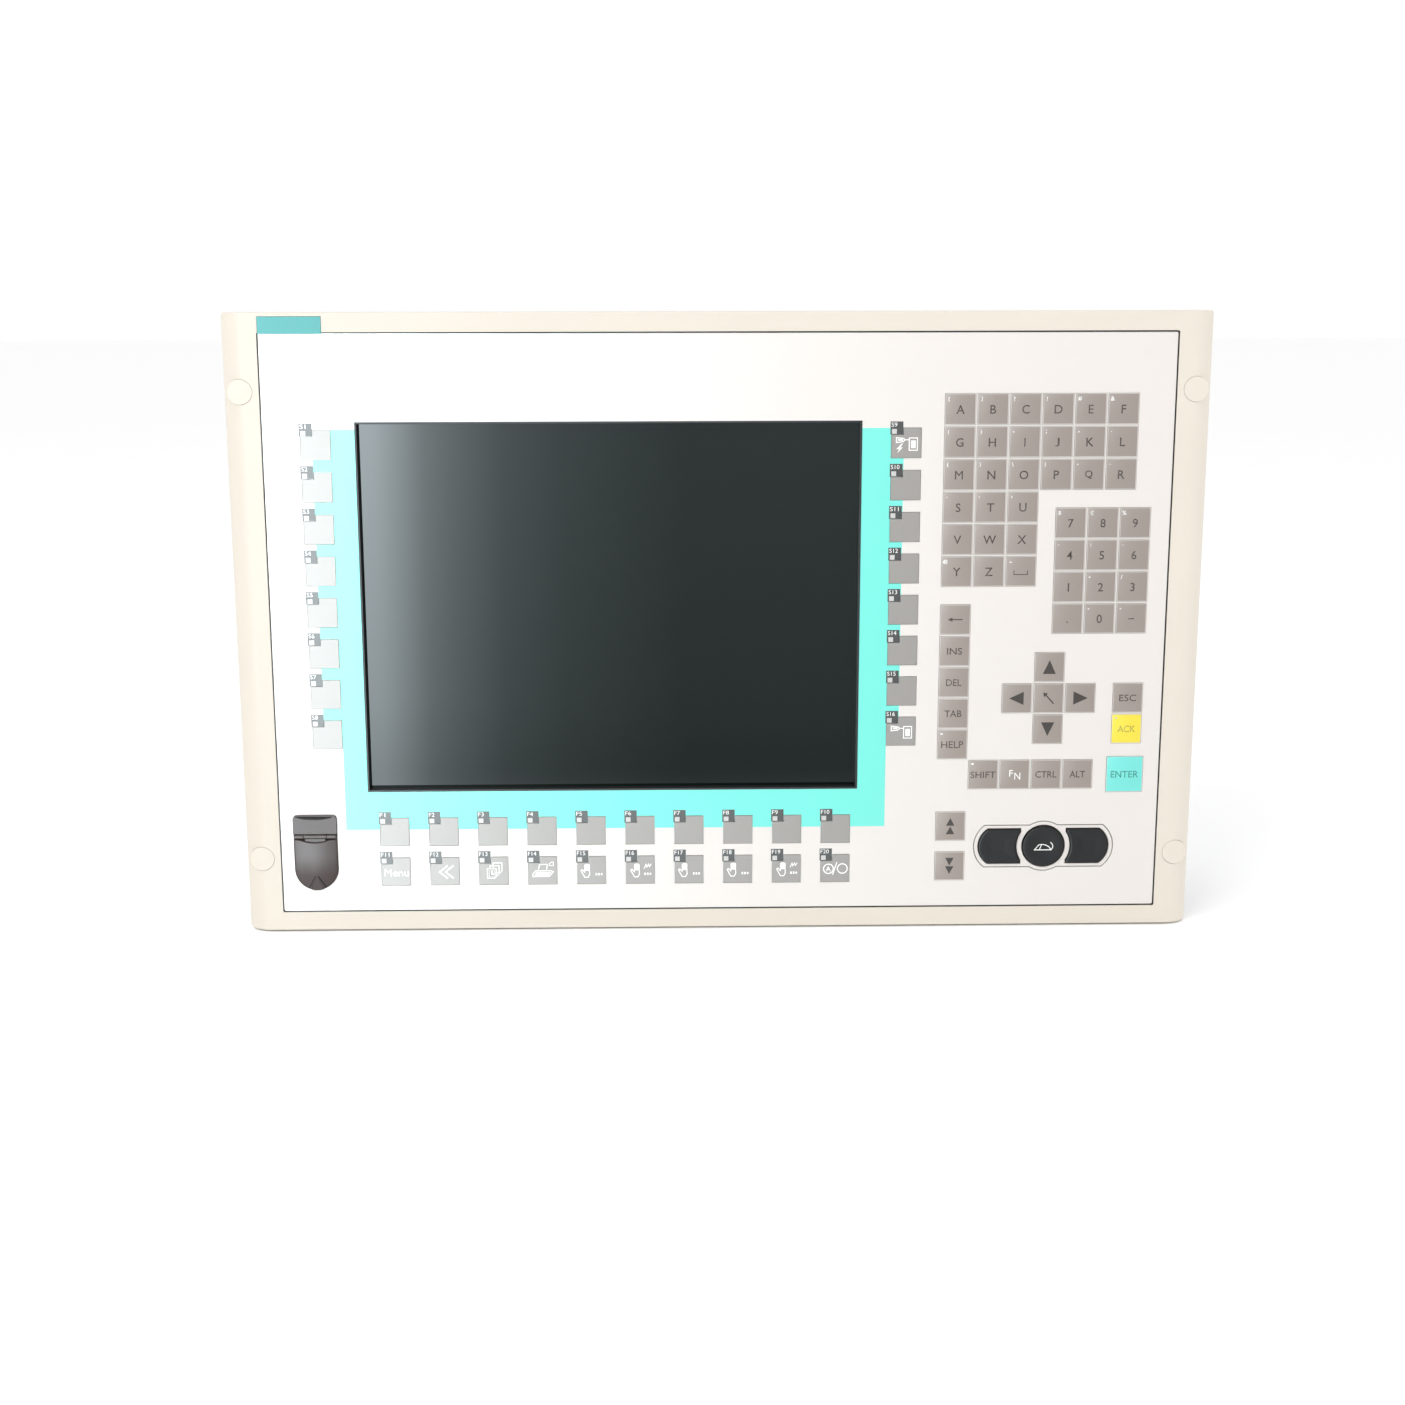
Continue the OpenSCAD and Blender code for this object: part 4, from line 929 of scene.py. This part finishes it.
legend.done("key_fn_legend", *ON_KEY, "white", "key_fn", "lamp_white")
print("words:", len(words) + len(spots))

# %% [markdown]
# The coloured patch of a key stops a hair short of the cap's edge, so a thin
# pale border shows all round. It keeps neighbouring keys visibly apart.

# %% Pale borders of the square keys
for node, squares in borders.items():
    border = Print()
    for x, z, wide in squares:
        reach = wide / MM / 2 - 0.12
        border.at(x, z).frame(-reach, -reach, reach, reach, 0.22)
    border.done(node + "_border", *ON_KEY, None, node, "foil")
print("borders:", sum(len(b) for b in borders.values()))

# %% Arrows
def triangle(drawing, x, z, wide, high, turn):
    """A triangle that points up, turned by quarter turns to the left."""
    points = [(-wide / 2, -high / 2), (wide / 2, -high / 2), (0, high / 2)]
    for _ in range(turn):
        points = [(-b, a) for a, b in points]
    drawing.shape([(x + a, z + b) for a, b in points])


arrows = {"key_up": [(0, 0, 6.5, 7.1, 0)], "key_left": [(-0.2, 0, 6.8, 7.3, 1)],
          "key_down": [(0, 0, 6.7, 7.1, 2)], "key_right": [(0.2, 0, 6.8, 7.3, 3)],
          "key_page_up": [(0, 2.3, 4.3, 4.1, 0), (0, -2.2, 4.3, 4.1, 0)],
          "key_page_down": [(0, 2.3, 4.3, 4.1, 2), (0, -2.2, 4.3, 4.1, 2)], "key_home": []}
for node, marks in arrows.items():
    drawing = Print().at(*centres(node)[0])
    for mark in marks:
        triangle(drawing, *mark)
    if node == "key_home":
        drawing.line([(2.7, -2.9), (-1.4, 1.6)], 0.65)
        drawing.shape([(-2.7, 2.9), (-2.3, 0.5), (-0.3, 2.4)])
    drawing.done(node + "_arrow", *ON_KEY, "arrow", node, slot_of_node[node])
print("arrow keys:", len(arrows))

# %% [markdown]
# ## Pictures on the function keys
# The lower row carries white pictures: a menu word, a double arrow, sheets,
# a printer, and hands for manual modes. They are simple line drawings, so a
# few lines of even width are enough. Each is drawn about its key's centre.

# %% Small drawings
def hand(d):
    d.shape([(-1.5, 0.2), (1.3, 0.2), (1.3, 3.4), (0.5, 3.8), (-0.8, 3.8), (-1.5, 3.3)])
    d.line([(1.1, 0.3), (1.2, -1.8), (0.4, -3.3), (-1.3, -3.3), (-2.3, -1.5), (-3.2, 0.3), (-2.6, 0.8),
            (-1.4, -0.5), (-1.3, 0.4)], 0.5)


def squiggle(d):
    d.line([(-1.9, -1.2), (-0.9, 1.1), (-0.5, -0.4), (0.4, 1.2), (0.8, -0.2), (1.8, 1.3)], 0.42)


def sheets(d):
    for i in range(3):
        outline = [(-3.4, -3.9), (0.2, -3.9), (1.1, -3.0), (1.1, 1.2), (-3.4, 1.2)]
        d.line([(x + 1.5 * i, z + 1.5 * i) for x, z in outline], 0.42, closed=True)
    d.rect(-1.1, -1.3, 2.6, 3.2)


def printer(d):
    d.line([(-5.2, -3.2), (3.2, -3.2), (5.4, -0.6), (4.2, -0.2), (-3.6, -0.2), (-5.2, -2.0)], 0.5, closed=True)
    d.shape([(-4.4, -2.9), (2.6, -2.9), (4.2, -0.9), (-3.4, -0.9)])
    d.line([(-2.4, -0.1), (-1.6, 3.2), (2.4, 3.2), (1.8, -0.1)], 0.5)
    d.line([(3.4, 2.6), (5.4, 2.6), (5.4, 4.4), (4.4, 4.4), (3.4, 3.6)], 0.4, closed=True)


def plug_and_page(d):
    d.line([(-4.9, 2.6), (-1.4, 2.2), (-0.6, 1.5), (-1.6, 0.6), (-4.9, 0.2)], 0.5, closed=True)
    d.rect(-2.9, 1.5, 2.4, 0.9)
    d.line([(-0.6, 1.5), (1.2, 1.5)], 0.5)
    d.frame(1.4, -3.6, 5.4, 2.4, 0.5)
    d.rect(3.4, -0.7, 2.3, 3.8)


def bolt(d):
    d.shape([(0.8, 2.3), (-1.7, -0.5), (-0.2, -0.3), (-1.3, -2.5), (1.5, 0.5), (0.1, 0.3), (1.6, 2.3)])


# %% Pictures on their keys
lower = centres("function_keys_lower")
pictures = Print()
pictures.at(*lower[0]).words("Menu", 0.2, -0.6, 3.9, 12.2)
for shift in (-1.6, 1.4):
    pictures.at(*lower[1], shift).line([(2.9, 3.0), (-1.2, -0.4), (2.9, -3.8)], 0.75)
sheets(pictures.at(*lower[2]))
printer(pictures.at(*lower[3]))
for i in range(4, 9):
    note = i in (5, 8)
    hand(pictures.at(*lower[i], -1.7 if note else -2.2, -0.5))
    pictures.at(*lower[i])
    for k, high in enumerate((1.3, 1.3, 1.1)):
        pictures.rect(2.4 + 1.35 * k, -2.2, 0.85, high)
    if note:
        squiggle(pictures.at(*lower[i], 3.8, 1.8))
pictures.at(*lower[9]).ring(-3.3, -0.3, 2.5, 0.6)
pictures.words("A", -3.3, -0.3, 2.8, 2.8, 0.03)
pictures.line([(-1.2, -3.6), (1.0, 3.2)], 0.55)
pictures.ring(3.8, -0.2, 2.5, 0.6)
pictures.done("function_pictures", *ON_KEY, "white", "function_keys_lower", "lamp_white")
service, spots = Print(), centres("soft_keys_right")
for spot in (spots[0], spots[7]):
    plug_and_page(service.at(*spot))
bolt(service.at(*spots[0], -3.2, -2.6))
service.done("service_pictures", *ON_KEY, "white", "soft_keys_right", "lamp_white")
print("pictures on", len(lower), "function keys")

# %% [markdown]
# ## Marks on the foil
# Two status lamps shine through the foil, named in very pale grey. A dark
# strip of painted shade lies in the joint between foil and frame, and a
# hairline follows the outline of the pointing device.

# %% Status names and painted joint shade
status, joint_shade = Print(), Print()
status.words("POWER", -167.6, 129.0, 2.7, 12.5)
status.words("TEMP", -144.7, 128.8, 2.7, 9.2)
status.done("status_names", *ON_FOIL, "status", "panel", "foil")
low, high = (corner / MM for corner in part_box("overlay_foil"))
beside = 0.45
# The ring is painted shade: a dark strip just behind the foil's face, in the gap round it.
joint_shade.frame(low.x - beside, low.z - beside, high.x + beside, high.z + beside, 0.4)
joint_shade.done("joint_bead", foil_front + 0.1 * MM, foil_front + 0.3 * MM, "groove", "panel", "pointer_black")
print("bead round", round(high.x - low.x, 1), "by", round(high.z - low.z, 1), "mm")

# %% Hairline round the pointing device
low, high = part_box("pointer_surround")
px, pz = (low.x + high.x) / 2, (low.z + high.z) / 2
disc_low, disc_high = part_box("pointer_disc")
DISC_R = (disc_high.x - disc_low.x) / 2


def arc(cx, cz, radius, start, stop, count):
    """Points of an arc, in degrees."""
    turns = [math.radians(start + (stop - start) * i / count) for i in range(count + 1)]
    return [(cx + radius * math.cos(t), cz + radius * math.sin(t)) for t in turns]


def pointer_outline(reach, half, end, bulge):
    """Round ends, straight sides and a bulge at the disc, in millimetres about its centre."""
    a, b = math.degrees(math.asin(half / end)), math.degrees(math.asin(half / bulge))
    return (arc(reach - end, 0, end, -a, a, 24) + arc(0, 0, bulge, b, 180 - b, 24)
            + arc(end - reach, 0, end, 180 - a, 180 + a, 24) + arc(0, 0, bulge, 180 + b, 360 - b, 24))


outside = 0.42
rim = pointer_outline((high.x - low.x) / 2 / MM + outside, 10.8 + outside, 13.7 + outside,
                      DISC_R / MM + 2.2 + outside)
hairline = Print().at(px, pz)
hairline.line(rim, 0.22, closed=True)
hairline.done("pointer_hairline", *ON_FOIL, "line", "panel", "foil")
print("pointing device at", round(px / MM, 2), round(pz / MM, 2))

# %% [markdown]
# ## Turned and moulded forms
# The buttons and the disc are soft mouldings with rolled edges and a gentle
# crown. Each is an outline repeated at several depths, a little smaller each
# time, like the rings of a shell. Rings and two end faces make a closed form.

# %% Shell of rings
def shrink(outline, by):
    """The outline moved inwards along its own normals."""
    n, made = len(outline), []
    for i in range(n):
        a, b, c = Vector(outline[i - 1]), Vector(outline[i]), Vector(outline[(i + 1) % n])
        d, e = (b - a).normalized(), (c - b).normalized()
        normal = Vector((-(d + e).y, (d + e).x)).normalized()
        made.append(tuple(b + normal * (by / max(0.5, normal.dot(Vector((-d.y, d.x)))))))
    return made


def shell(outline, steps, name):
    """Closed mesh from (inset, depth) steps, front first."""
    bm = bmesh.new()
    rings = [[bm.verts.new((x, depth, z)) for x, z in shrink(outline, inset)] for inset, depth in steps]
    mesh = skin(bm, rings, name)
    smooth(mesh, 32)
    return mesh


def rolled(front, radius, count=5):
    """Steps of a quarter-round edge behind a front face."""
    return [(radius * (1 - math.cos(math.pi / 2 * (1 - i / count))),
             front + radius * (1 - math.sin(math.pi / 2 * (1 - i / count)))) for i in range(count + 1)]


def filleted(points, radius, turn=25, count=5):
    """Rounds every corner that turns by more than the given angle."""
    made, n = [], len(points)
    for i in range(n):
        a, b, c = Vector(points[i - 1]), Vector(points[i]), Vector(points[(i + 1) % n])
        d, e = (a - b).normalized(), (c - b).normalized()
        angle = math.pi - d.angle(e)
        if math.degrees(angle) < turn:
            made.append(tuple(b))
            continue
        cut = min(radius * math.tan(angle / 2), (a - b).length * 0.9, (c - b).length * 0.9)
        for k in range(count + 1):
            s = k / count
            p = (b + d * cut) * (1 - s) ** 2 + b * 2 * s * (1 - s) + (b + e * cut) * s ** 2
            made.append(tuple(p))
    return made


print("shell helpers ready")

# %% Forms with a shaped face
def inset_from(points, rim):
    """Distance of each point from a closed rim."""
    p, a = np.array(points)[:, None, :], np.array(rim)[None, :, :]
    d = np.roll(a, -1, 1) - a
    t = np.clip(((p - a) * d).sum(2) / np.maximum((d * d).sum(2), 1e-12), 0, 1)[:, :, None]
    return np.sqrt((((p - a - d * t) ** 2).sum(2)).min(1))


def shaped_form(rim, middle, origin, face, back, name, rings=24):
    """A closed form over a rim in millimetres: its face follows a rule, its back is flat."""
    shares = [1, 0.996, 0.99, 0.982, 0.972, 0.96, 0.945, 0.925]
    shares += [0.90 * (1 - i / rings) + 0.02 for i in range(rings)]
    bm, loops = bmesh.new(), []
    for share in shares:
        points = [(middle[0] + (u - middle[0]) * share, middle[1] + (v - middle[1]) * share) for u, v in rim]
        insets = inset_from(points, rim)
        loops.append([bm.verts.new(((origin[0] + u) * MM, face(u, v, float(inset)) * MM, (origin[1] + v) * MM))
                      for (u, v), inset in zip(points, insets)])
    loops.insert(0, [bm.verts.new((v.co.x, back * MM, v.co.z)) for v in loops[0]])
    return skin(bm, loops, name)


def roll(inset, radius):
    """How far a quarter-round edge falls back at a distance from the rim."""
    share = max(0.0, 1 - inset / radius)
    return radius * (1 - math.sqrt(max(0.0, 1 - share * share)))


# %% The two buttons
HALF_H, END_X, END_ROUND, WAIST = 9.1, 22.3, 11.0, DISC_R / MM + 3.3
top_angle = math.degrees(math.asin(HALF_H / END_ROUND))
TIP = WAIST - 2.2
waist_angle = math.degrees(math.acos(TIP / WAIST))
outer = (arc(END_X, 0, END_ROUND, -top_angle, -top_angle + 10, 1)
         + arc(END_X, 0, END_ROUND, -top_angle + 13, top_angle - 13, 20)
         + arc(END_X, 0, END_ROUND, top_angle - 10, top_angle, 1))
inner = [(TIP, HALF_H)] + arc(0, 0, WAIST, waist_angle, -waist_angle, 16) + [(TIP, -HALF_H)]
outline = filleted(outer + inner, 1.2)
finer = []
for i, p in enumerate(outline):
    q = outline[(i + 1) % len(outline)]
    parts = max(1, int(math.dist(p, q) / 0.7))
    finer += [(p[0] + (q[0] - p[0]) * k / parts, p[1] + (q[1] - p[1]) * k / parts) for k in range(parts)]
for side, node in ((1, "pointer_button_right"), (-1, "pointer_button_left")):
    low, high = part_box(node)
    front = low.y / MM
    rim = [(side * x, z) for x, z in (finer if side > 0 else finer[::-1])]
    cushion = lambda u, v, inset: front + roll(inset, 0.9) + 0.25 * min(1.0, inset / 6) ** 2
    body = shaped_form(rim, (side * 22.0, 0), (px / MM, pz / MM), cushion, front + 4.8, node + "_body", 14)
    wide = [(px + x * MM, pz + z * MM) for x, z in shrink(rim[::3], -0.9)]
    flange = shell(wide, [(0, (front + 4.8) * MM), (0, (front + 5.6) * MM)], node + "_flange")
    peg = shell(arc(px + side * 22 * MM, pz, 2 * MM, 0, 345, 23),
                [(0, (front + 5.5) * MM), (0, high.y)], node + "_peg")
    mesh = joined([body, flange, peg], node + "_moulding")
    smooth(mesh, 32)
    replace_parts(show(mesh, node + "_moulding", node, "pointer_black"), node)
print("button front at", round(front, 2), "mm")

# %% The disc
front = disc_low.y
circle = arc(px, pz, DISC_R, 0, 360 - 360 / 96, 95)
dish = [(DISC_R - r * MM, front + (0.5 - r * r / 120) * MM) for r in (0.3, 2.0, 4.0, 6.0, 7.6)]
foot = [(0.1 * MM, front + 2.3 * MM), (0.2 * MM, front + 2.4 * MM)]
plate = shell(circle, dish + rolled(front, 0.7 * MM) + foot, "disc_plate")
stem = shell(arc(px, pz, 2.6 * MM, 0, 345, 23), [(0, front + 2.3 * MM), (0, disc_high.y)], "disc_stem")
pin = bmesh.new()
bmesh.ops.create_cone(pin, cap_ends=True, segments=16, radius1=0.7 * MM, radius2=0.7 * MM, depth=10.8 * MM,
                      matrix=Matrix.Translation((px, -5.5 * MM, pz)) @ Matrix.Rotation(math.pi / 2, 4, "Y"))
disc_mesh = joined([plate, stem, mesh_of(pin, "disc_pin")], "disc_moulding")
smooth(disc_mesh, 32)
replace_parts(show(disc_mesh, "disc_moulding", "pointer_disc", "pointer_black"), "pointer_disc")

mouse = Print().at(px, pz)
front_at = lambda x, z: front + (0.5 - ((x - px) ** 2 + (z - pz) ** 2) / MM ** 2 / 120) * MM
for points, closed in (([(-4.5, -1.9), (-2.3, 0.7), (-0.6, 0.95), (1.2, 0.6), (2.9, -0.3), (4.0, -1.9)], True),
                       ([(-1.9, -1.8), (-0.9, 0.8)], False),
                       ([(3.9, -1.9), (4.7, -0.9), (4.9, 0.2), (4.4, 1.3), (3.6, 2.1)], False)):
    mouse.line(points, 0.42, closed)
picture = mouse.done("disc_picture", 0, 0.02 * MM, "white", "pointer_disc", "lamp_white")
for vert in picture.data.vertices:
    vert.co.y += front_at(vert.co.x, vert.co.z) - 0.01 * MM
print("disc radius", round(DISC_R / MM, 2), "mm")

# %% [markdown]
# ## The port and its flap
# The flap is one rubbery moulding with a film-thin middle knuckle on a steel
# pin. Its face is crowned, a scoop under the hinge gives the knuckle room to
# turn, and a thumb dent and a wedge at the bottom help to pull it open. The
# face is a height field over the flap's outline, drawn ring by ring.

# %% Flap face
ux = (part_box("port_frame")[0].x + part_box("port_frame")[1].x) / 2
flap_low, flap_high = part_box("port_flap")
uz = flap_low.z + 19.5 * MM
pin_low, pin_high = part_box("flap_pin")
hinge = Vector((ux, (pin_low.y + pin_high.y) / 2, (pin_low.z + pin_high.z) / 2))
half_w, top_v, round_v = 10.9, (hinge.z - uz) / MM - 1.5, -8.6
flap_back = hinge.y / MM + 0.95


def flap_face(u, v, inset=9.0):
    """Depth of the face in millimetres at (u, v) from the port's centre."""
    depth = -12.4 + 1.15 * (u / 11) ** 2 + roll(inset, 0.7)
    depth += 0.5 * max(0.0, (-11.0 - v) / 8.5) ** 2
    depth += 0.34 * math.exp(-((u + 3.6) / 2.6) ** 2 - ((v + 7.0) / 4.0) ** 2)
    scoop = max(0.0, min(1.0, (v - 5.2 - 1.2 * (u / 7) ** 2) / 0.8))
    depth += 1.1 * scoop * scoop * (3 - 2 * scoop) * max(0.0, min(1.0, 8.0 - abs(u)))
    return min(depth, flap_back - 0.3)


def flap_rim():
    side_rise = top_v - 0.4 - round_v
    rim = [(half_w, round_v + side_rise * i / 34) for i in range(35)] + [(half_w - 0.12, top_v - 0.12)]
    rim += [(half_w - 0.4 - (2 * half_w - 0.8) * i / 52, top_v) for i in range(53)]
    rim.append((-half_w + 0.12, top_v - 0.12))
    rim += [(-half_w, top_v - 0.4 - side_rise * i / 34) for i in range(35)]
    return rim + arc(0, round_v, half_w, 180, 360, 64)[1:-1]


face_mesh = shaped_form(flap_rim(), (0.0, -5.0), (ux / MM, uz / MM), flap_face, flap_back, "flap_face", 36)
print("flap face polygons:", len(face_mesh.polygons))

# %% Knuckle, web and pull wedge
def tube(middle, outer, inner, length, count, name):
    """A tube along X with a bore."""
    bm = bmesh.new()
    loops = []
    for x, radius in ((-1, outer), (1, outer), (1, inner), (-1, inner)):
        loops.append([bm.verts.new((middle.x + x * length / 2,
                                    middle.y + radius * math.cos(2 * math.pi * i / count),
                                    middle.z + radius * math.sin(2 * math.pi * i / count))) for i in range(count)])
    return skin(bm, loops + loops[:1], name, capped=False)


def frustum(front, front_y, back, back_y, name):
    """A closed form between two outlines about the port's centre, in millimetres."""
    bm = bmesh.new()
    return skin(bm, [[bm.verts.new((ux + u * MM, y * MM, uz + v * MM)) for u, v in outline]
                     for outline, y in ((front, front_y), (back, back_y))], name)


crescent = [(-9.6, 18.7), (-5.2, 17.7), (0.0, 17.3), (5.0, 17.6), (9.2, 18.6), (8.6, 19.1), (-9.0, 19.2)]
recess = frustum(crescent, -11.9, crescent, -10.7, "strip_recess")
rounded("port_frame", 0.25, carved("port_frame", [recess]))
knuckle = tube(hinge, 1.2 * MM, 0.65 * MM, 11.4 * MM, 28, "flap_knuckle")
web_face = [(-4.9, 5.6), (4.9, 5.6), (4.9, 7.55), (-4.9, 7.55)]
web = frustum(web_face, -11.3, web_face, -10.2, "flap_web")
wedge_top = [(-2.7, -18.9), (-1.2, -19.35), (1.6, -19.35), (3.5, -18.8), (0.35, -12.2), (0.1, -12.2)]
wedge_foot = [(-3.4, -18.6), (-1.4, -19.35), (2.0, -19.35), (4.3, -18.4), (0.5, -11.5), (0.0, -11.5)]
wedge = frustum(wedge_top, -12.5, wedge_foot, -11.2, "flap_wedge")
flap_mesh = joined([face_mesh, knuckle, web, wedge], "flap_moulding")
smooth(flap_mesh, 38)
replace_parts(show(flap_mesh, "flap_moulding", "port_flap", "flap_grey"), "port_flap")
# The dark lines beside the pull wedge are painted shade of grooves that are not modelled.
groove_shade_lines, crescent_shade = Print().at(ux, uz), Print().at(ux, uz)
for a, b, width in (((0.85, -11.9), (4.95, -18.0), 0.75), ((-0.45, -11.9), (-4.0, -18.4), 0.45)):
    shares = [i / 12 for i in range(13)]
    groove_shade_lines.line([(a[0] + (b[0] - a[0]) * k, a[1] + (b[1] - a[1]) * k) for k in shares], width)
# A dark crescent on the floor of the strip's recess: painted shade inside the recess.
crescent_shade.shape([(u * 0.985, 18.55 + (v - 18.4) * 0.9) for u, v in crescent[::-1]])
crescent_shade.done("strip_shade", -10.74 * MM, -10.69 * MM, "groove", "panel", "flap_grey")
groove_shade_piece = groove_shade_lines.done("wedge_grooves", 0, 0.05 * MM, "groove", "port_flap", "flap_grey")
for vert in groove_shade_piece.data.vertices:
    vert.co.y += (flap_face((vert.co.x - ux) / MM, (vert.co.z - uz) / MM) - 0.02) * MM
print("flap width", round((flap_high.x - flap_low.x) / MM, 2), "mm")

# %% [markdown]
# The rubber is shiny where hands seldom touch it and dull at the pull edge. A
# thin coat carries the shine, and its weight falls from the middle downward.

# %% Shine of the flap
flap_tall = flap_high.z - flap_low.z
rubber = finishes["flap_grey"]
rubber_shader = rubber.node_tree.nodes["Principled BSDF"]
rubber_shader.inputs["Coat Roughness"].default_value = 0.37
start = Signal(rubber.node_tree)
place = start.node("ShaderNodeTexCoord", out="Object")
height = start.node("ShaderNodeSeparateXYZ", inputs={"Vector": place}).other(2)
feed(rubber_shader, "Coat Weight", height.node("ShaderNodeMapRange", inputs={
    "Value": height, 1: flap_low.z + 0.27 * flap_tall, 2: flap_low.z + 0.62 * flap_tall, 3: 0.11, 4: 0.54}))
print("shine rises over", round(0.35 * flap_tall / MM, 1), "mm")

# %% [markdown]
# ## A blank type label
# A real panel carries its type label on the back. Here it stays blank, with
# only its border and ruled lines.

# %% Label on the rear cover
cover_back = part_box("rear_cover")[1].y
lx, lz, lw, lh = -120 * MM, -70 * MM, 76, 44
label, rules = Print().at(lx, lz), Print().at(lx, lz)
label.rect(0, 0, lw, lh)
label.done("type_label", cover_back + 0.06 * MM, cover_back - 0.01 * MM, "label", "panel", "lamp_white")
rules.frame(-lw * 0.47, -lh * 0.45, lw * 0.47, lh * 0.45, 0.4)
for share in (-0.2, 0.02, 0.24):
    rules.rect(0, lh * share, lw * 0.86, 0.3)
rules.done("type_label_rules", cover_back + 0.075 * MM, cover_back + 0.05 * MM, "tag", "panel", "pointer_black")
print("label", lw, "by", lh, "mm")

# %% [markdown]
# ## Everything that keeps its own mesh
# Parts that are deep inside, or that are flat and sharp in reality too, keep
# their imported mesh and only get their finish.

# %% Finish the remaining solids
for name, node in nodes.items():
    node.data.materials.clear()
    node.data.materials.append(finishes["pointer_black" if name == "flap_pin" else slot_of_node[name]])
kept = [n for n, o in nodes.items() if not o.hide_render]
print("kept as they are:", ", ".join(kept))

# %% [markdown]
# ## Floor and light
# A pale floor under the panel and an even white surround give the soft light
# of a small studio. A large lamp at the upper left makes the left side a
# little brighter. The floor is hidden from reflections, so that the dark
# glass mirrors only the dim room.

# %% Floor
floor_z = cad_box[0][2] - 0.3 * MM
bpy.ops.mesh.primitive_plane_add(size=12, location=(0, 1.0, floor_z))
floor = bpy.context.object
floor.name = "floor"
floor.data.materials.append(coated("pale_floor", (0.97, 0.97, 0.97), 0.8, 300, 0.05, 0.01))
floor.visible_glossy = False
print("floor at", round(floor_z / MM, 2), "mm")

# %% World and lamps
world = bpy.data.worlds.new("studio")
bpy.context.scene.world = world
world.use_nodes = True
world.node_tree.nodes["Background"].inputs["Color"].default_value = (1.0, 1.0, 1.0, 1)
world.node_tree.nodes["Background"].inputs["Strength"].default_value = 1.0
lamps = (("key_lamp", (-0.9, -1.2, 1.3), 14.0, 1.2), ("side_lamp", (1.5, -0.3, 0.5), 3.2, 1.0))
for name, place, power, width in lamps:
    lamp = bpy.data.lights.new(name, "AREA")
    lamp.energy, lamp.size = power, width
    lamp_object = linked(name, lamp)
    lamp_object.location = place
    lamp_object.rotation_euler = (-lamp_object.location).to_track_quat("-Z", "Y").to_euler()
    lamp_object.visible_camera = lamp_object.visible_glossy = False
bpy.context.scene.view_settings.view_transform = "Standard"
print("lamps:", len(lamps))

# %% [markdown]
# ## What the glass mirrors
# A glossy screen shows the room in front of it. A large card before the
# panel stands for that room: bright at the left like a window, dim at the
# right. Only reflections can see it, so it lights nothing.

# %% The reflection card
def reflection_card():
    """A card whose light falls from left to right and varies with height."""
    mesh = bpy.data.meshes.new("reflection_card")
    corners = [(x, -0.7, z) for x, z in ((-1.0, -0.7), (0.75, -0.7), (0.75, 0.6), (-1.0, 0.6))]
    mesh.from_pydata(corners, [], [(0, 3, 2, 1)])
    card = linked("reflection_card", mesh)
    material, shader, start = new_finish("mirrored_room", specular=0.0)
    place = start.node("ShaderNodeTexCoord", out="Object")
    x = start.node("ShaderNodeSeparateXYZ", inputs={"Vector": place})
    z = x.other(2)

    def by_table(signal, table):
        """A level read from rows of millimetres and level."""
        start_mm, wide_mm, peak = table[0][0], table[-1][0] - table[0][0], max(v for mm, v in table)
        stops = [((mm - start_mm) / wide_mm, (v / peak,) * 3) for mm, v in table]
        share = (signal * 1000.0 + -float(start_mm)) / float(wide_mm)
        return signal.node("ShaderNodeValToRGB", {"stops": stops}, {"Fac": share}), peak

    ramp, ramp_peak = by_table(x, [
        (-800, 1.0), (-650, 13.0), (-450, 19.0), (-360, 18.0), (-295, 12.5), (-266, 11.8), (-242, 8.0),
        (-225, 5.4), (-200, 3.9), (-160, 2.35), (-110, 1.6), (-60, 1.25), (-10, 0.95)])
    fade, fade_peak = by_table(z, [
        (-700, 2.4), (-400, 1.7), (-310, 1.15), (-262, 0.84), (-190, 1.0), (45, 1.0), (140, 0.6), (600, 0.5)])
    near = x.node("ShaderNodeMapRange", inputs={"Value": x, 1: 0.19, 2: 0.25, 3: 1.0, 4: 0.2})
    table_top = near * z.node("ShaderNodeMapRange", inputs={"Value": z, 1: -0.25, 2: -0.35, 3: 0.0, 4: 2.1})
    level = ramp * ramp_peak * (z * 1.147 + 0.955) * fade * fade_peak + table_top
    cool = start.node("ShaderNodeCombineColor", inputs={0: level * 0.97, 1: level * 1.10, 2: level * 1.16})
    shader.inputs["Base Color"].default_value = (0, 0, 0, 1)
    feed(shader, "Emission Color", cool)
    shader.inputs["Emission Strength"].default_value = 1.0
    mesh.materials.append(material)
    card.visible_camera = card.visible_diffuse = card.visible_transmission = False
    card.visible_volume_scatter = card.visible_shadow = False


reflection_card()
print("reflection card ready")
